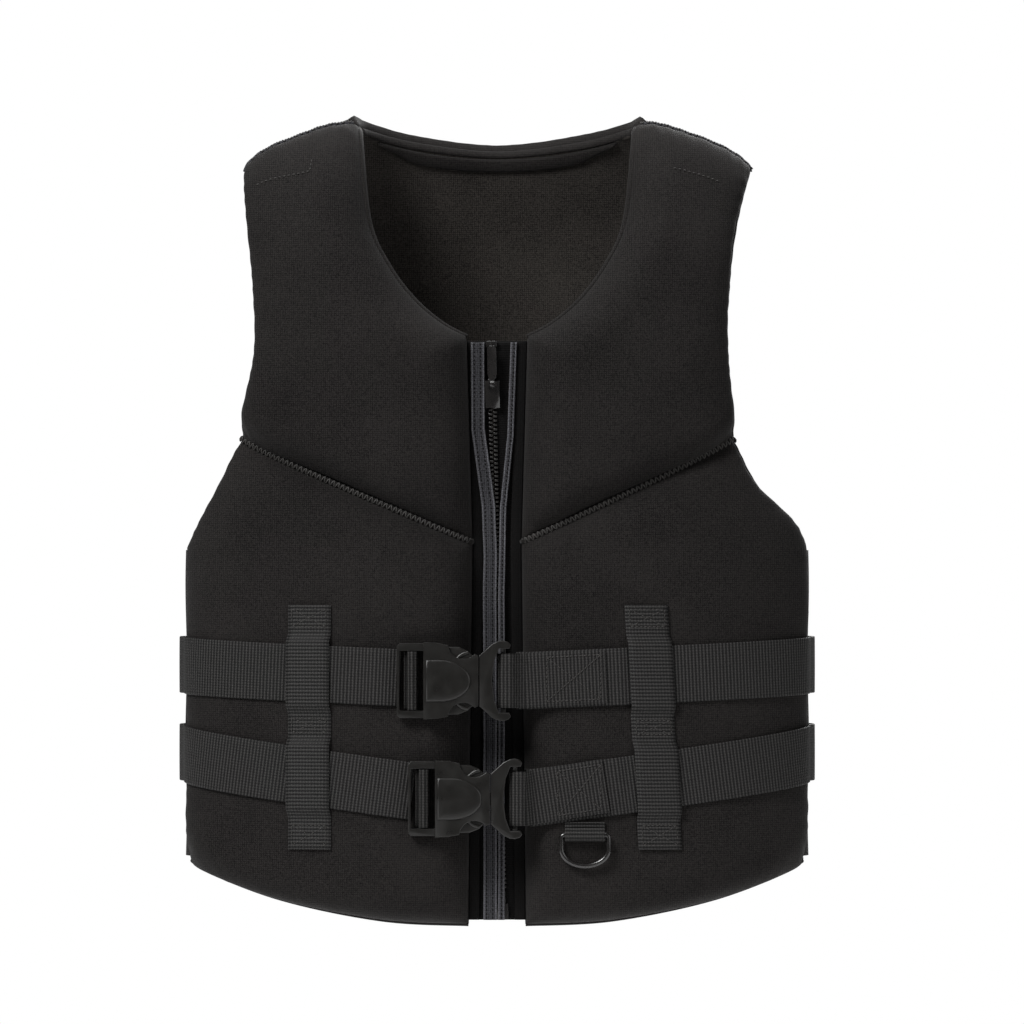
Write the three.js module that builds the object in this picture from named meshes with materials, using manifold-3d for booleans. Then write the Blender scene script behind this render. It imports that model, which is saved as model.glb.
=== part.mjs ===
// Foam-filled neoprene buoyancy vest with a front zip and two buckled webbing belts.
// Millimetres, +Z up, +Y towards the wearer's back, +X towards the wearer's left.
// Heights are counted from the hem; the finished group is lowered so that the origin lies
// between the shoulders, where the straps rest on the wearer.

import * as THREE from 'three';
import { mergeVertices } from 'three/addons/utils/BufferGeometryUtils.js';
import Module from 'manifold-3d';

const wasm = await Module();
wasm.setup();

// ---- Driving dimensions: body of the vest ----
const HALF_WIDTH = 218;
const HALF_DEPTH = 64;
const RING_ROUNDNESS = 0.8;
const SHOULDER_IN_X = 97;
const SHOULDER_IN_Z = 562;
const SHOULDER_OUT_X = 176;
const SHOULDER_SLOPE_DROP = 34;
const SHOULDER_OUT_Z = SHOULDER_IN_Z - SHOULDER_SLOPE_DROP;
const BEND_DROP = 122;
const BEND_START = SHOULDER_IN_Z - BEND_DROP;
const REST_DROP = 22;
const SHOULDER_REST_Z = SHOULDER_IN_Z - REST_DROP;
const PIECE_GAP = 0.4;

// ---- Front and back outlines ----
const FRONT_EDGE_X = 17;
const HEM_EDGE_X = 20;
const NECK_EDGE_X = 21;
const NECK_FRONT_DROP = 147;
const NECK_FRONT_Z = SHOULDER_IN_Z - NECK_FRONT_DROP;
const NECK_BACK_DROP = 15;
const NECK_BACK_Z = SHOULDER_IN_Z - NECK_BACK_DROP;
const SEAM_IN_Z = 271;
const SEAM_OUT_Z = 344;
const BACK_SEAM_Z = 292;
const SIDE_INSET = 5;
const SIDE_EDGE_X = HALF_WIDTH - SIDE_INSET;
const HEM_FRONT_Z = 3;
const HEM_BACK_Z = 14;
const HEM_SIDE_Z = 48;
const UNDERARM_Z = 266;
const FRONT_SIDES = [
  { name: 'right', side: -1, seamOutX: SIDE_EDGE_X - 37, armholeX: SIDE_EDGE_X - 49 },
  { name: 'left', side: 1, seamOutX: SIDE_EDGE_X - 51, armholeX: SIDE_EDGE_X - 57 },
];
const BACK_SEAM_OUT_X = SIDE_EDGE_X - 47;
const BACK_ARMHOLE_X = SIDE_EDGE_X - 55;
// Heights of three points on an armhole, as shares of the way from its seam to the shoulder.
const ARMHOLE_RISES = [0.3043478, 0.548913, 0.7934783];

// ---- Thicknesses ----
const COVER = 3;
const LINING = 2.4;
const SIDE_PANEL = 5;
const FOAM = 26;
const FOAM_GAP = 0.8;
const STRAP_THINNING = 0.55;
const EDGE_ROLL = 26;
const SIDE_TAPER = 105;
const ARM_TAPER = 40;
const SEAM_ROLL = 24;
const SEAM_FLOOR = 0.4;
const RIDGE_ROLL = 24;
const RIDGE_FLOOR = 0.5;

// ---- Webbing ----
const BELT_WIDTH = 40;
const WEBBING = 1.5;
const KEEPER_WIDTH = 30;
const KEEPER_WEBBING = 1.3;
const LIE = 0.8;
// Middles of the keepers at their lower and upper ends.
const FRONT_KEEPERS = { right: [-131, -131], left: [114, 104] };
const BACK_KEEPERS = { right: [-114, -114], left: [114, 114] };
// A full pad carries whatever lies on it this much further out than the flat pattern.
const KEEPER_SPREAD = 1 + (FOAM + COVER + 1) / HALF_WIDTH;
const KEEPER_LOW_Z = 56;
const KEEPER_HIGH_Z = 227;
const BELT_TAUT_X = 58;
const BELT_RISE_X = 20;
const LOOP_END_X = 76;
// Steps at which a belt is laid over a pad, and its closer ones in from the side edge.
const BELT_STEP = 20;
const BELT_TURN = [39, 26, 16, 8, 3, 0];
const BACK_MIDDLE_STATIONS = [6, 22, 40];
const NECK_BAND = { width: 8, reach: 58, thickness: 2, lift: 3.2 };
const BELTS = [
  { name: 'upper', buckleX: 0, buckleZ: 174.3, sideZ: 184 },
  { name: 'lower', buckleX: 8, buckleZ: 92, sideZ: 122 },
];

// ---- Side-release buckle, measured from the belt's own middle ----
const HALF_BELT = BELT_WIDTH / 2;
const BUCKLE = {
  frameLeft: -70, bodyLeft: -51.3, mouth: -13, halfHeight: HALF_BELT + 6.8,
  neckHalf: HALF_BELT - 2.5, thickness: 13, plate: 2.5, endWall: 4.5,
  cavityHalf: HALF_BELT + 4, lipLeft: -36, lipRight: -34, lipHalf: HALF_BELT + 4.8,
  pocketHalf: HALF_BELT + 5.5, pocketLeft: -45.5, frameHalf: HALF_BELT + 6, frameThick: 5.5,
  frameBack: 1, frameBar: 1.8, frameCorner: 2, slotHalf: HALF_BELT + 1,
  barLeft: -62.6, barRight: -58, barThick: 3, yokeLeft: -12.4, yokeRight: 9.7,
  yokeHalf: HALF_BELT + 8, webBarLeft: 2.8, webBarRight: 6.2, webBarHalf: HALF_BELT + 3,
  webSlack: 1.9, hingeX: -17.2, hingeZ: HALF_BELT - 7, hingeRadius: 4,
  prongThick: 7, prongTip: -44, prongOut: HALF_BELT + 3.6, guideHalf: 4.5, guideTip: -40,
};
// The round bite in each side of the female half through which the prongs are squeezed.
const BITE = { x: -23.5, z: HALF_BELT + 6, radius: 10.8, from: 200, to: 318 };
const BUCKLE_LIFT = 0.4;

// ---- Zip ----
const ZIP_LOW_Z = 6;
const ZIP_HIGH_Z = NECK_FRONT_Z - 3;
const ZIP_LEAN = -0.0196;
const ZIP_MIDDLE_Z = 210;
const TAPE = 1.4;
const ROW_HALF = 3;
const ROW_THICK = 2.2;
const TEETH_GAP = 0.3;
const FACING = 2;
const FACING_WIDTH = 8.5;
const SLIDER_Z = ZIP_HIGH_Z - 37.5;
const SLIDER_LENGTH = 19;
const SLIDER_WIDTH = 10;
const PULL_LENGTH = 27;

// ---- D-ring ----
const RING = { x: 61.5, halfWidth: 18.5, height: 23.5, wire: 4, tabWidth: 28, tabRise: 8.9, beltGap: 3.05 };

const FINISH = {
  neoprene: { color: 0x222224, roughness: 0.85, metalness: 0 },
  lining: { color: 0x2a2a2c, roughness: 0.95, metalness: 0 },
  foam: { color: 0x8d9296, roughness: 0.9, metalness: 0 },
  webbing: { color: 0x2c2c2e, roughness: 0.7, metalness: 0 },
  buckle: { color: 0x2d2b28, roughness: 0.45, metalness: 0 },
  tape: { color: 0x1e1e20, roughness: 0.8, metalness: 0 },
  teeth: { color: 0x24221f, roughness: 0.5, metalness: 0 },
  coatedMetal: { color: 0x1c1b1a, roughness: 0.35, metalness: 0.6 },
};

const vest = new THREE.Group();
vest.position.z = -SHOULDER_REST_Z;

// ---- Small helpers ----

function add(name, finish, geometry, parent = vest) {
  const mesh = new THREE.Mesh(geometry, new THREE.MeshStandardMaterial(FINISH[finish]));
  mesh.name = name;
  parent.add(mesh);
  return mesh;
}

function signedVolume(geometry) {
  const at = geometry.attributes.position;
  const corners = [new THREE.Vector3(), new THREE.Vector3(), new THREE.Vector3()];
  let total = 0;
  for (let i = 0; i < geometry.index.count; i += 3) {
    corners.forEach((corner, k) => corner.fromBufferAttribute(at, geometry.index.getX(i + k)));
    total += corners[0].dot(corners[1].clone().cross(corners[2]));
  }
  return total / 6;
}

// One closed skin with shared corners and its faces pointing out.
function closed(geometry) {
  const bare = geometry.clone();
  bare.deleteAttribute('normal');
  bare.deleteAttribute('uv');
  const merged = mergeVertices(bare, 1e-3);
  if (signedVolume(merged) < 0) {
    const index = merged.index;
    for (let i = 0; i < index.count; i += 3) {
      const first = index.getX(i);
      index.setX(i, index.getX(i + 1));
      index.setX(i + 1, first);
    }
  }
  return merged;
}

function solid(geometry) {
  const skin = closed(geometry);
  return new wasm.Manifold(new wasm.Mesh({
    numProp: 3,
    vertProperties: new Float32Array(skin.attributes.position.array),
    triVerts: new Uint32Array(skin.index.array),
  }));
}

function fromSolid(body) {
  const mesh = body.getMesh();
  const geometry = new THREE.BufferGeometry();
  geometry.setAttribute('position', new THREE.BufferAttribute(mesh.vertProperties, 3));
  geometry.setIndex(new THREE.BufferAttribute(mesh.triVerts, 1));
  return geometry;
}

// A box given by its lowest and highest corner.
function block(low, high) {
  const size = high.map((value, k) => value - low[k]);
  const middle = high.map((value, k) => (value + low[k]) / 2);
  return new THREE.BoxGeometry(...size).translate(...middle);
}

// A flat outline in X and Z, given depth from its back face towards the front.
function plate(points, backY, thickness) {
  const shape = new THREE.Shape(points.map(([x, z]) => new THREE.Vector2(x, z)));
  const geometry = new THREE.ExtrudeGeometry(shape, { depth: thickness, bevelEnabled: false });
  return geometry.rotateX(Math.PI / 2).translate(0, backY, 0);
}

function mirrored(points) {
  return points.map(([x, z]) => [x, -z]).reverse();
}

// ---- The body's form ----

function ridgeHeight(across) {
  const slope = (SHOULDER_IN_Z - SHOULDER_OUT_Z) / (SHOULDER_OUT_X - SHOULDER_IN_X);
  return SHOULDER_IN_Z + (SHOULDER_IN_X - across) * slope;
}

// The plan of the body at an angle from the middle, outside the lining by the offset.
function ring(angle, offset) {
  const sine = Math.sin(angle);
  const cosine = Math.cos(angle);
  return [
    (HALF_WIDTH + offset) * Math.sign(sine) * Math.abs(sine) ** RING_ROUNDNESS,
    (HALF_DEPTH + offset) * Math.sign(cosine) * Math.abs(cosine) ** RING_ROUNDNESS,
  ];
}

function angleAt(across) {
  return Math.asin((across / HALF_WIDTH) ** (1 / RING_ROUNDNESS));
}

// A point seen from the front at x and z, carried onto the body; facing is -1 in front, 1 behind.
function onBody(x, z, offset, facing) {
  const across = Math.abs(x);
  const [wide, deep] = ring(angleAt(across), offset);
  const rise = ridgeHeight(across) - BEND_START;
  const bend = Math.asin(Math.min(1, Math.max(0, z - BEND_START) / rise));
  const height = z > BEND_START ? BEND_START + (rise + offset) * Math.sin(bend) : z;
  return [Math.sign(x) * wide, facing * (PIECE_GAP / 2 + deep * Math.cos(bend)), height];
}

// ---- Outlines ----

function spline(points) {
  return new THREE.SplineCurve(points.map(([x, z]) => new THREE.Vector2(x, z)));
}

function line(from, to) {
  return new THREE.LineCurve(new THREE.Vector2(...from), new THREE.Vector2(...to));
}

function path(...curves) {
  const joined = new THREE.CurvePath();
  curves.forEach((curve) => joined.add(curve));
  return joined;
}

function armholeHeights() {
  return ARMHOLE_RISES.map((share) => SEAM_OUT_Z + (SHOULDER_OUT_Z - SEAM_OUT_Z) * share);
}

// Four edges of a front half, from its middle outwards and from its hem upwards.
function frontOutlines({ seamOutX, armholeX }) {
  const half = PIECE_GAP / 2;
  const seam = (lift) => line([FRONT_EDGE_X, SEAM_IN_Z + lift], [seamOutX, SEAM_OUT_Z + lift]);
  const ridge = line([SHOULDER_IN_X, SHOULDER_IN_Z], [SHOULDER_OUT_X, SHOULDER_OUT_Z]);
  const [low, middle, high] = armholeHeights();
  const neck = spline([
    [NECK_EDGE_X, NECK_FRONT_Z], [38, NECK_FRONT_Z + 9], [58, NECK_FRONT_Z + 26], [76, NECK_FRONT_Z + 50],
    [90, NECK_FRONT_Z + 82], [SHOULDER_IN_X, SHOULDER_IN_Z],
  ]);
  return {
    waist: {
      bottom: spline([[HEM_EDGE_X, HEM_FRONT_Z], [SIDE_EDGE_X - 133, HEM_FRONT_Z + 3],
        [SIDE_EDGE_X - 63, HEM_FRONT_Z + 17], [SIDE_EDGE_X - 8, HEM_SIDE_Z - 8],
        [SIDE_EDGE_X, HEM_SIDE_Z]]),
      top: seam(-half),
      inner: line([HEM_EDGE_X, HEM_FRONT_Z], [FRONT_EDGE_X, SEAM_IN_Z - half]),
      outer: path(
        line([SIDE_EDGE_X, HEM_SIDE_Z], [SIDE_EDGE_X, UNDERARM_Z]),
        spline([[SIDE_EDGE_X, UNDERARM_Z], [SIDE_EDGE_X - 9, UNDERARM_Z + 20],
          [seamOutX + 13, SEAM_OUT_Z - 29], [seamOutX, SEAM_OUT_Z - half]]),
      ),
    },
    chest: {
      bottom: seam(half),
      top: ridge,
      inner: path(line([FRONT_EDGE_X, SEAM_IN_Z + half], [NECK_EDGE_X, NECK_FRONT_Z]), neck),
      outer: spline([[seamOutX, SEAM_OUT_Z + half], [armholeX, low], [armholeX + 1, middle],
        [armholeX + 7, high], [SHOULDER_OUT_X, SHOULDER_OUT_Z]]),
    },
  };
}

// The same for the back, from the wearer's right side to the left.
function backOutlines() {
  const half = PIECE_GAP / 2;
  const seam = (lift) => spline([
    [-BACK_SEAM_OUT_X, SEAM_OUT_Z + lift], [86 - BACK_SEAM_OUT_X, BACK_SEAM_Z + 14 + lift],
    [0, BACK_SEAM_Z + lift],
    [BACK_SEAM_OUT_X - 86, BACK_SEAM_Z + 14 + lift], [BACK_SEAM_OUT_X, SEAM_OUT_Z + lift],
  ]);
  const side = (sign) => path(
    line([sign * SIDE_EDGE_X, HEM_SIDE_Z], [sign * SIDE_EDGE_X, UNDERARM_Z]),
    spline([[sign * SIDE_EDGE_X, UNDERARM_Z], [sign * (SIDE_EDGE_X - 11), UNDERARM_Z + 20],
      [sign * (BACK_SEAM_OUT_X + 13), SEAM_OUT_Z - 29],
      [sign * BACK_SEAM_OUT_X, SEAM_OUT_Z - half]]),
  );
  const [low, middle, high] = armholeHeights();
  const armhole = (sign) => spline([
    [sign * BACK_SEAM_OUT_X, SEAM_OUT_Z + half], [sign * BACK_ARMHOLE_X, low],
    [sign * (BACK_ARMHOLE_X + 2), middle], [sign * (BACK_ARMHOLE_X + 8), high],
    [sign * SHOULDER_OUT_X, SHOULDER_OUT_Z],
  ]);
  return {
    waist: {
      bottom: spline([[-SIDE_EDGE_X, HEM_SIDE_Z], [63 - SIDE_EDGE_X, HEM_BACK_Z + 12],
        [0, HEM_BACK_Z], [SIDE_EDGE_X - 63, HEM_BACK_Z + 12], [SIDE_EDGE_X, HEM_SIDE_Z]]),
      top: seam(-half), inner: side(-1), outer: side(1),
    },
    chest: {
      bottom: seam(half),
      top: path(
        line([-SHOULDER_OUT_X, SHOULDER_OUT_Z], [-SHOULDER_IN_X, SHOULDER_IN_Z]),
        spline([[-SHOULDER_IN_X, SHOULDER_IN_Z], [-60, NECK_BACK_Z + 6], [0, NECK_BACK_Z],
          [60, NECK_BACK_Z + 6], [SHOULDER_IN_X, SHOULDER_IN_Z]]),
        line([SHOULDER_IN_X, SHOULDER_IN_Z], [SHOULDER_OUT_X, SHOULDER_OUT_Z]),
      ),
      inner: armhole(-1), outer: armhole(1),
    },
  };
}

// ---- Panels: grids between four edges, and slabs that lie on the body ----

// Steps from 0 to 1 that draw together at both ends, where a padded panel rolls over.
function crowded(step, steps) {
  const share = step / steps;
  return share - 0.75 * Math.sin(2 * Math.PI * share) / (2 * Math.PI);
}

function fillIn({ bottom, top, inner, outer }, columns, rows) {
  const corner = { low: bottom.getPointAt(0), high: top.getPointAt(0) };
  const far = { low: bottom.getPointAt(1), high: top.getPointAt(1) };
  const grid = [];
  for (let j = 0; j <= rows; j += 1) {
    const up = crowded(j, rows);
    const row = [];
    for (let i = 0; i <= columns; i += 1) {
      const out = crowded(i, columns);
      const point = inner.getPointAt(up).multiplyScalar(1 - out)
        .addScaledVector(outer.getPointAt(up), out)
        .addScaledVector(bottom.getPointAt(out), 1 - up)
        .addScaledVector(top.getPointAt(out), up)
        .addScaledVector(corner.low, -(1 - out) * (1 - up))
        .addScaledVector(far.low, -out * (1 - up))
        .addScaledVector(corner.high, -(1 - out) * up)
        .addScaledVector(far.high, -out * up);
      row.push(point);
    }
    grid.push(row);
  }
  return grid;
}

// Splits the back face's squares along the same diagonals as the front's, so nested slabs
// bend alike and never cut each other.
function matchDiagonals(geometry) {
  const { start, count } = geometry.groups[5];
  for (let k = start; k < start + count; k += 6) {
    const [a, b, d, c] = [0, 1, 2, 4].map((step) => geometry.index.getX(k + step));
    [a, b, c, a, c, d].forEach((corner, step) => geometry.index.setX(k + step, corner));
  }
}

// A slab whose grid points become 3-D places by the given function of column, row and face.
function slab(columns, rows, place) {
  const geometry = new THREE.BoxGeometry(1, 1, 1, columns, rows, 1);
  matchDiagonals(geometry);
  const at = geometry.attributes.position;
  for (let k = 0; k < at.count; k += 1) {
    const i = Math.round((at.getX(k) + 0.5) * columns);
    const j = Math.round((at.getY(k) + 0.5) * rows);
    at.setXYZ(k, ...place(i, j, at.getZ(k) > 0));
  }
  return closed(geometry);
}

function bodySlab(grid, side, facing, low, high) {
  return slab(grid[0].length - 1, grid.length - 1, (i, j, outside) => {
    const point = grid[j][i];
    return onBody(side * point.x, point.y, (outside ? high : low)(point), facing);
  });
}

function distanceTo(points, spot) {
  const nearest = new THREE.Vector3();
  const here = new THREE.Vector3(spot.x, spot.y, 0);
  let least = Infinity;
  for (let k = 1; k < points.length; k += 1) {
    const from = new THREE.Vector3(points[k - 1].x, points[k - 1].y, 0);
    const to = new THREE.Vector3(points[k].x, points[k].y, 0);
    new THREE.Line3(from, to).closestPointToPoint(here, true, nearest);
    least = Math.min(least, nearest.distanceTo(here));
  }
  return least;
}

// A quarter round that rises from the floor share to 1 over the roll's radius.
function rolled(distance, radius, floor = 0) {
  const short = 1 - Math.min(1, distance / radius);
  return floor + (1 - floor) * Math.sqrt(1 - short * short);
}

// The foam's thickness at a point, from how far it lies inside each edge of its panel.
function foamAt(panel, spot) {
  const strap = Math.max(0, spot.y - NECK_FRONT_Z) / (SHOULDER_IN_Z - NECK_FRONT_Z);
  const loft = FOAM * (1 - STRAP_THINNING * strap);
  return panel.edges.reduce(
    (share, edge) => share * rolled(distanceTo(edge.points, spot), edge.radius, edge.floor),
    loft,
  );
}

function panelOf(outlines, rolls) {
  const samples = 16;
  const edges = Object.keys(rolls).map((key) => ({
    points: outlines[key].getSpacedPoints(samples), ...rolls[key],
  }));
  return { outlines, edges };
}

const SEAM_EDGE = { radius: SEAM_ROLL, floor: SEAM_FLOOR };
const RIDGE_EDGE = { radius: RIDGE_ROLL, floor: RIDGE_FLOOR };
const FRONT_COLUMNS = 7;
const BACK_COLUMNS = 12;
const WAIST_ROWS = 8;
const CHEST_ROWS = 9;

// Cover, foam core and lining of one panel, in that order from the outside.
function addPadding(name, panel, columns, rows, side, facing) {
  const grid = fillIn(panel.outlines, columns, rows);
  const foam = (spot) => foamAt(panel, spot);
  const skin = (extra) => (spot) => PIECE_GAP / 2 + foam(spot) + extra;
  add(`${name}_cover`, 'neoprene', bodySlab(grid, side, facing, skin(0), skin(COVER)));
  const core = grid.slice(1, -1).map((row) => row.slice(1, -1));
  const coreTop = (spot) => Math.max(2, foam(spot) - FOAM_GAP);
  add(`${name}_foam`, 'foam', bodySlab(core, side, facing, () => PIECE_GAP, coreTop));
  return grid;
}

function addLining(name, lower, upper, side, facing) {
  const grid = lower.slice(0, -1).concat(upper);
  const back = () => -PIECE_GAP / 2 - LINING;
  const front = () => -PIECE_GAP / 2;
  add(`${name}_lining`, 'lining', bodySlab(grid, side, facing, back, front));
}

const panels = {};
for (const front of FRONT_SIDES) {
  const outlines = frontOutlines(front);
  const middle = { radius: EDGE_ROLL, floor: 0 };
  panels[front.name] = {
    waist: panelOf(outlines.waist, {
      bottom: { radius: EDGE_ROLL, floor: 0 }, top: SEAM_EDGE, inner: middle,
      outer: { radius: SIDE_TAPER, floor: 0 },
    }),
    chest: panelOf(outlines.chest, {
      bottom: SEAM_EDGE, top: RIDGE_EDGE, inner: middle, outer: { radius: ARM_TAPER, floor: 0 },
    }),
  };
  const { waist, chest } = panels[front.name];
  const low = addPadding(`${front.name}_waist`, waist, FRONT_COLUMNS, WAIST_ROWS, front.side, -1);
  const high = addPadding(`${front.name}_chest`, chest, FRONT_COLUMNS, CHEST_ROWS, front.side, -1);
  addLining(`${front.name}_front`, low, high, front.side, -1);
}

function addBack() {
  const outlines = backOutlines();
  const edge = { radius: SIDE_TAPER, floor: 0 };
  const arm = { radius: ARM_TAPER, floor: 0 };
  panels.back = {
    waist: panelOf(outlines.waist, {
      bottom: { radius: EDGE_ROLL, floor: 0 }, top: SEAM_EDGE, inner: edge, outer: edge,
    }),
    chest: panelOf(outlines.chest, { bottom: SEAM_EDGE, top: RIDGE_EDGE, inner: arm, outer: arm }),
  };
  const low = addPadding('back_waist', panels.back.waist, BACK_COLUMNS, WAIST_ROWS, 1, 1);
  const high = addPadding('back_chest', panels.back.chest, BACK_COLUMNS, CHEST_ROWS, 1, 1);
  addLining('back', low, high, 1, 1);
}

// The folded band along the inside of the back neckline.
function addNeckBand() {
  const { width, reach, thickness, lift } = NECK_BAND;
  const steps = 8;
  const innerFace = -PIECE_GAP / 2 - LINING - lift;
  const drop = (x) => NECK_BACK_Z + 6 * (x / 60) ** 2 - 1.2;
  add('back_neck_band', 'neoprene', slab(steps, 1, (i, j, outside) => {
    const x = -reach + 2 * reach * i / steps;
    return onBody(x + 1e-6, drop(x) - (j ? 0 : width), innerFace - (outside ? 0 : thickness), 1);
  }));
}

// The unpadded strip that joins front and back under each arm.
function addSidePanel(name, side) {
  const steps = 5;
  const edge = angleAt(SIDE_EDGE_X);
  const clearance = PIECE_GAP / (HALF_DEPTH * 0.6);
  const start = edge + clearance;
  const sweep = Math.PI - 2 * start;
  const low = HEM_SIDE_Z + 1;
  const high = UNDERARM_Z - 1;
  add(`${name}_side_panel`, 'neoprene', slab(steps, 1, (i, j, outside) => {
    const angle = start + sweep * i / steps;
    const [x, y] = ring(angle, outside ? SIDE_PANEL - LINING : -LINING);
    const shift = angle < Math.PI / 2 ? PIECE_GAP / 2 : -PIECE_GAP / 2;
    return [side * x, -y - shift, j ? high : low];
  }));
}

// ---- Webbing ----

function coverTop(panel, spot) {
  return PIECE_GAP / 2 + foamAt(panel, spot) + COVER;
}

function beltHeight(belt, x) {
  const share = Math.min(1, Math.max(0, (Math.abs(x) - BELT_RISE_X) / (SIDE_EDGE_X - BELT_RISE_X)));
  return belt.buckleZ + (belt.sideZ - belt.buckleZ) * share;
}

// The belt's inner face over one padded half, as places from near the middle to the side.
function padRun(panel, side, facing, heightAt, middle = []) {
  const stations = [...middle];
  for (let across = BELT_TAUT_X; across < SIDE_EDGE_X - BELT_TURN[0] - 8; across += BELT_STEP) {
    stations.push(across);
  }
  stations.push(...BELT_TURN.map((inset) => SIDE_EDGE_X - inset));
  return stations.map((across) => {
    const spot = new THREE.Vector2(across, heightAt(across));
    const lift = Math.max(coverTop(panel, spot), SIDE_PANEL) + LIE;
    const [x, y] = onBody(side * across, spot.y, lift, facing);
    return new THREE.Vector3(x, y, spot.y);
  });
}

function frontRun(belt, { name, side }) {
  return padRun(panels[name].waist, side, -1, (across) => beltHeight(belt, across));
}

function sideRun(belt, side) {
  const steps = 4;
  const start = angleAt(SIDE_EDGE_X);
  const run = [];
  for (let i = 1; i < steps; i += 1) {
    const angle = start + (Math.PI - 2 * start) * i / steps;
    const [x, y] = ring(angle, SIDE_PANEL + LIE);
    run.push(new THREE.Vector3(side * x, -y, belt.sideZ));
  }
  return run;
}

function backRun(belt) {
  const half = (side) => padRun(panels.back.waist, side, 1, () => belt.sideZ, BACK_MIDDLE_STATIONS);
  return [...half(-1).reverse(), ...half(1)];
}

// The plane in which both buckles and the taut middle of the belts lie.
const TAUT_Y = Math.min(...FRONT_SIDES.flatMap((front) => BELTS.flatMap(
  (belt) => frontRun(belt, front).map((place) => place.y),
)));
const BELT_FRONT_Y = TAUT_Y - WEBBING;
const BUCKLE_BACK_Y = BELT_FRONT_Y - BUCKLE_LIFT;

// A flat strap along a run of places, its width standing in Z and its thickness facing out.
function ribbon(run, width, thickness) {
  const last = run.length - 1;
  const outward = run.map((place, k) => {
    const along = run[Math.min(last, k + 1)].clone().sub(run[Math.max(0, k - 1)]);
    const normal = new THREE.Vector3(along.y, -along.x, 0).normalize();
    return normal.dot(new THREE.Vector3(place.x * 0.1, place.y, 0)) < 0 ? normal.negate() : normal;
  });
  return slab(last, 1, (i, j, outside) => {
    const place = run[i].clone().addScaledVector(outward[i], outside ? thickness : 0);
    return [place.x, place.y, place.z + (j ? 0.5 : -0.5) * width];
  });
}

function addBelt(belt) {
  const [right, left] = FRONT_SIDES.map((front) => frontRun(belt, front));
  const tautStart = new THREE.Vector3(BUCKLE.barLeft + 3 + belt.buckleX, TAUT_Y, belt.buckleZ);
  const tautEnd = new THREE.Vector3(BUCKLE.webBarRight + 6 + belt.buckleX, TAUT_Y, belt.buckleZ);
  const flatten = (place) => {
    if (Math.abs(place.x) < BELT_TAUT_X + 30) place.y = Math.min(place.y, TAUT_Y);
    return place;
  };
  const run = [
    tautStart, ...right.filter((place) => place.x < tautStart.x - 3).map(flatten),
    ...sideRun(belt, -1), ...backRun(belt), ...sideRun(belt, 1).reverse(),
    ...left.reverse().map(flatten), tautEnd,
  ];
  add(`${belt.name}_belt`, 'webbing', ribbon(run, BELT_WIDTH, WEBBING));
}

// A strip of webbing in plan, thickened to both sides of its middle line.
function thickened(points, thickness) {
  const last = points.length - 1;
  const sides = [[], []];
  points.forEach(([x, y], k) => {
    const [ax, ay] = points[Math.max(0, k - 1)];
    const [bx, by] = points[Math.min(last, k + 1)];
    const length = Math.hypot(bx - ax, by - ay);
    const nx = -(by - ay) / length * thickness / 2;
    const ny = (bx - ax) / length * thickness / 2;
    sides[0].push([x + nx, y + ny]);
    sides[1].unshift([x - nx, y - ny]);
  });
  return sides.flat();
}

function arc(centreX, centreY, radius, from, to, steps) {
  const points = [];
  for (let i = 0; i <= steps; i += 1) {
    const angle = THREE.MathUtils.degToRad(from + (to - from) * i / steps);
    points.push([centreX + radius * Math.cos(angle), centreY + radius * Math.sin(angle)]);
  }
  return points;
}

// An outline in plan, raised between two heights.
function upright(points, lowZ, highZ) {
  const shape = new THREE.Shape(points.map(([x, y]) => new THREE.Vector2(x, y)));
  return new THREE.ExtrudeGeometry(shape, { depth: highZ - lowZ, bevelEnabled: false })
    .translate(0, 0, lowZ);
}

// The webbing turned round the bar of the male half and sewn down on the belt.
function addLoop(belt) {
  const barX = (BUCKLE.webBarLeft + BUCKLE.webBarRight) / 2 + belt.buckleX;
  const barY = BUCKLE_BACK_Y - BUCKLE.webSlack - WEBBING - BUCKLE.barThick / 2;
  const turn = BUCKLE.barThick / 2 + 1.1 + WEBBING / 2;
  const front = BELT_FRONT_Y - PIECE_GAP - WEBBING / 2;
  const run = [
    [barX + 3.4, barY + turn], ...arc(barX, barY, turn, 90, 270, 8), [barX + 5, barY - turn],
    [barX + 15, front], [LOOP_END_X / 2 + barX / 2, front], [LOOP_END_X, front],
  ];
  const half = HALF_BELT - 1;
  const geometry = closed(upright(thickened(run, WEBBING), -half, half));
  const at = geometry.attributes.position;
  for (let k = 0; k < at.count; k += 1) {
    at.setZ(k, at.getZ(k) + beltHeight(belt, at.getX(k)));
  }
  add(`${belt.name}_belt_loop`, 'webbing', geometry);
}

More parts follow.
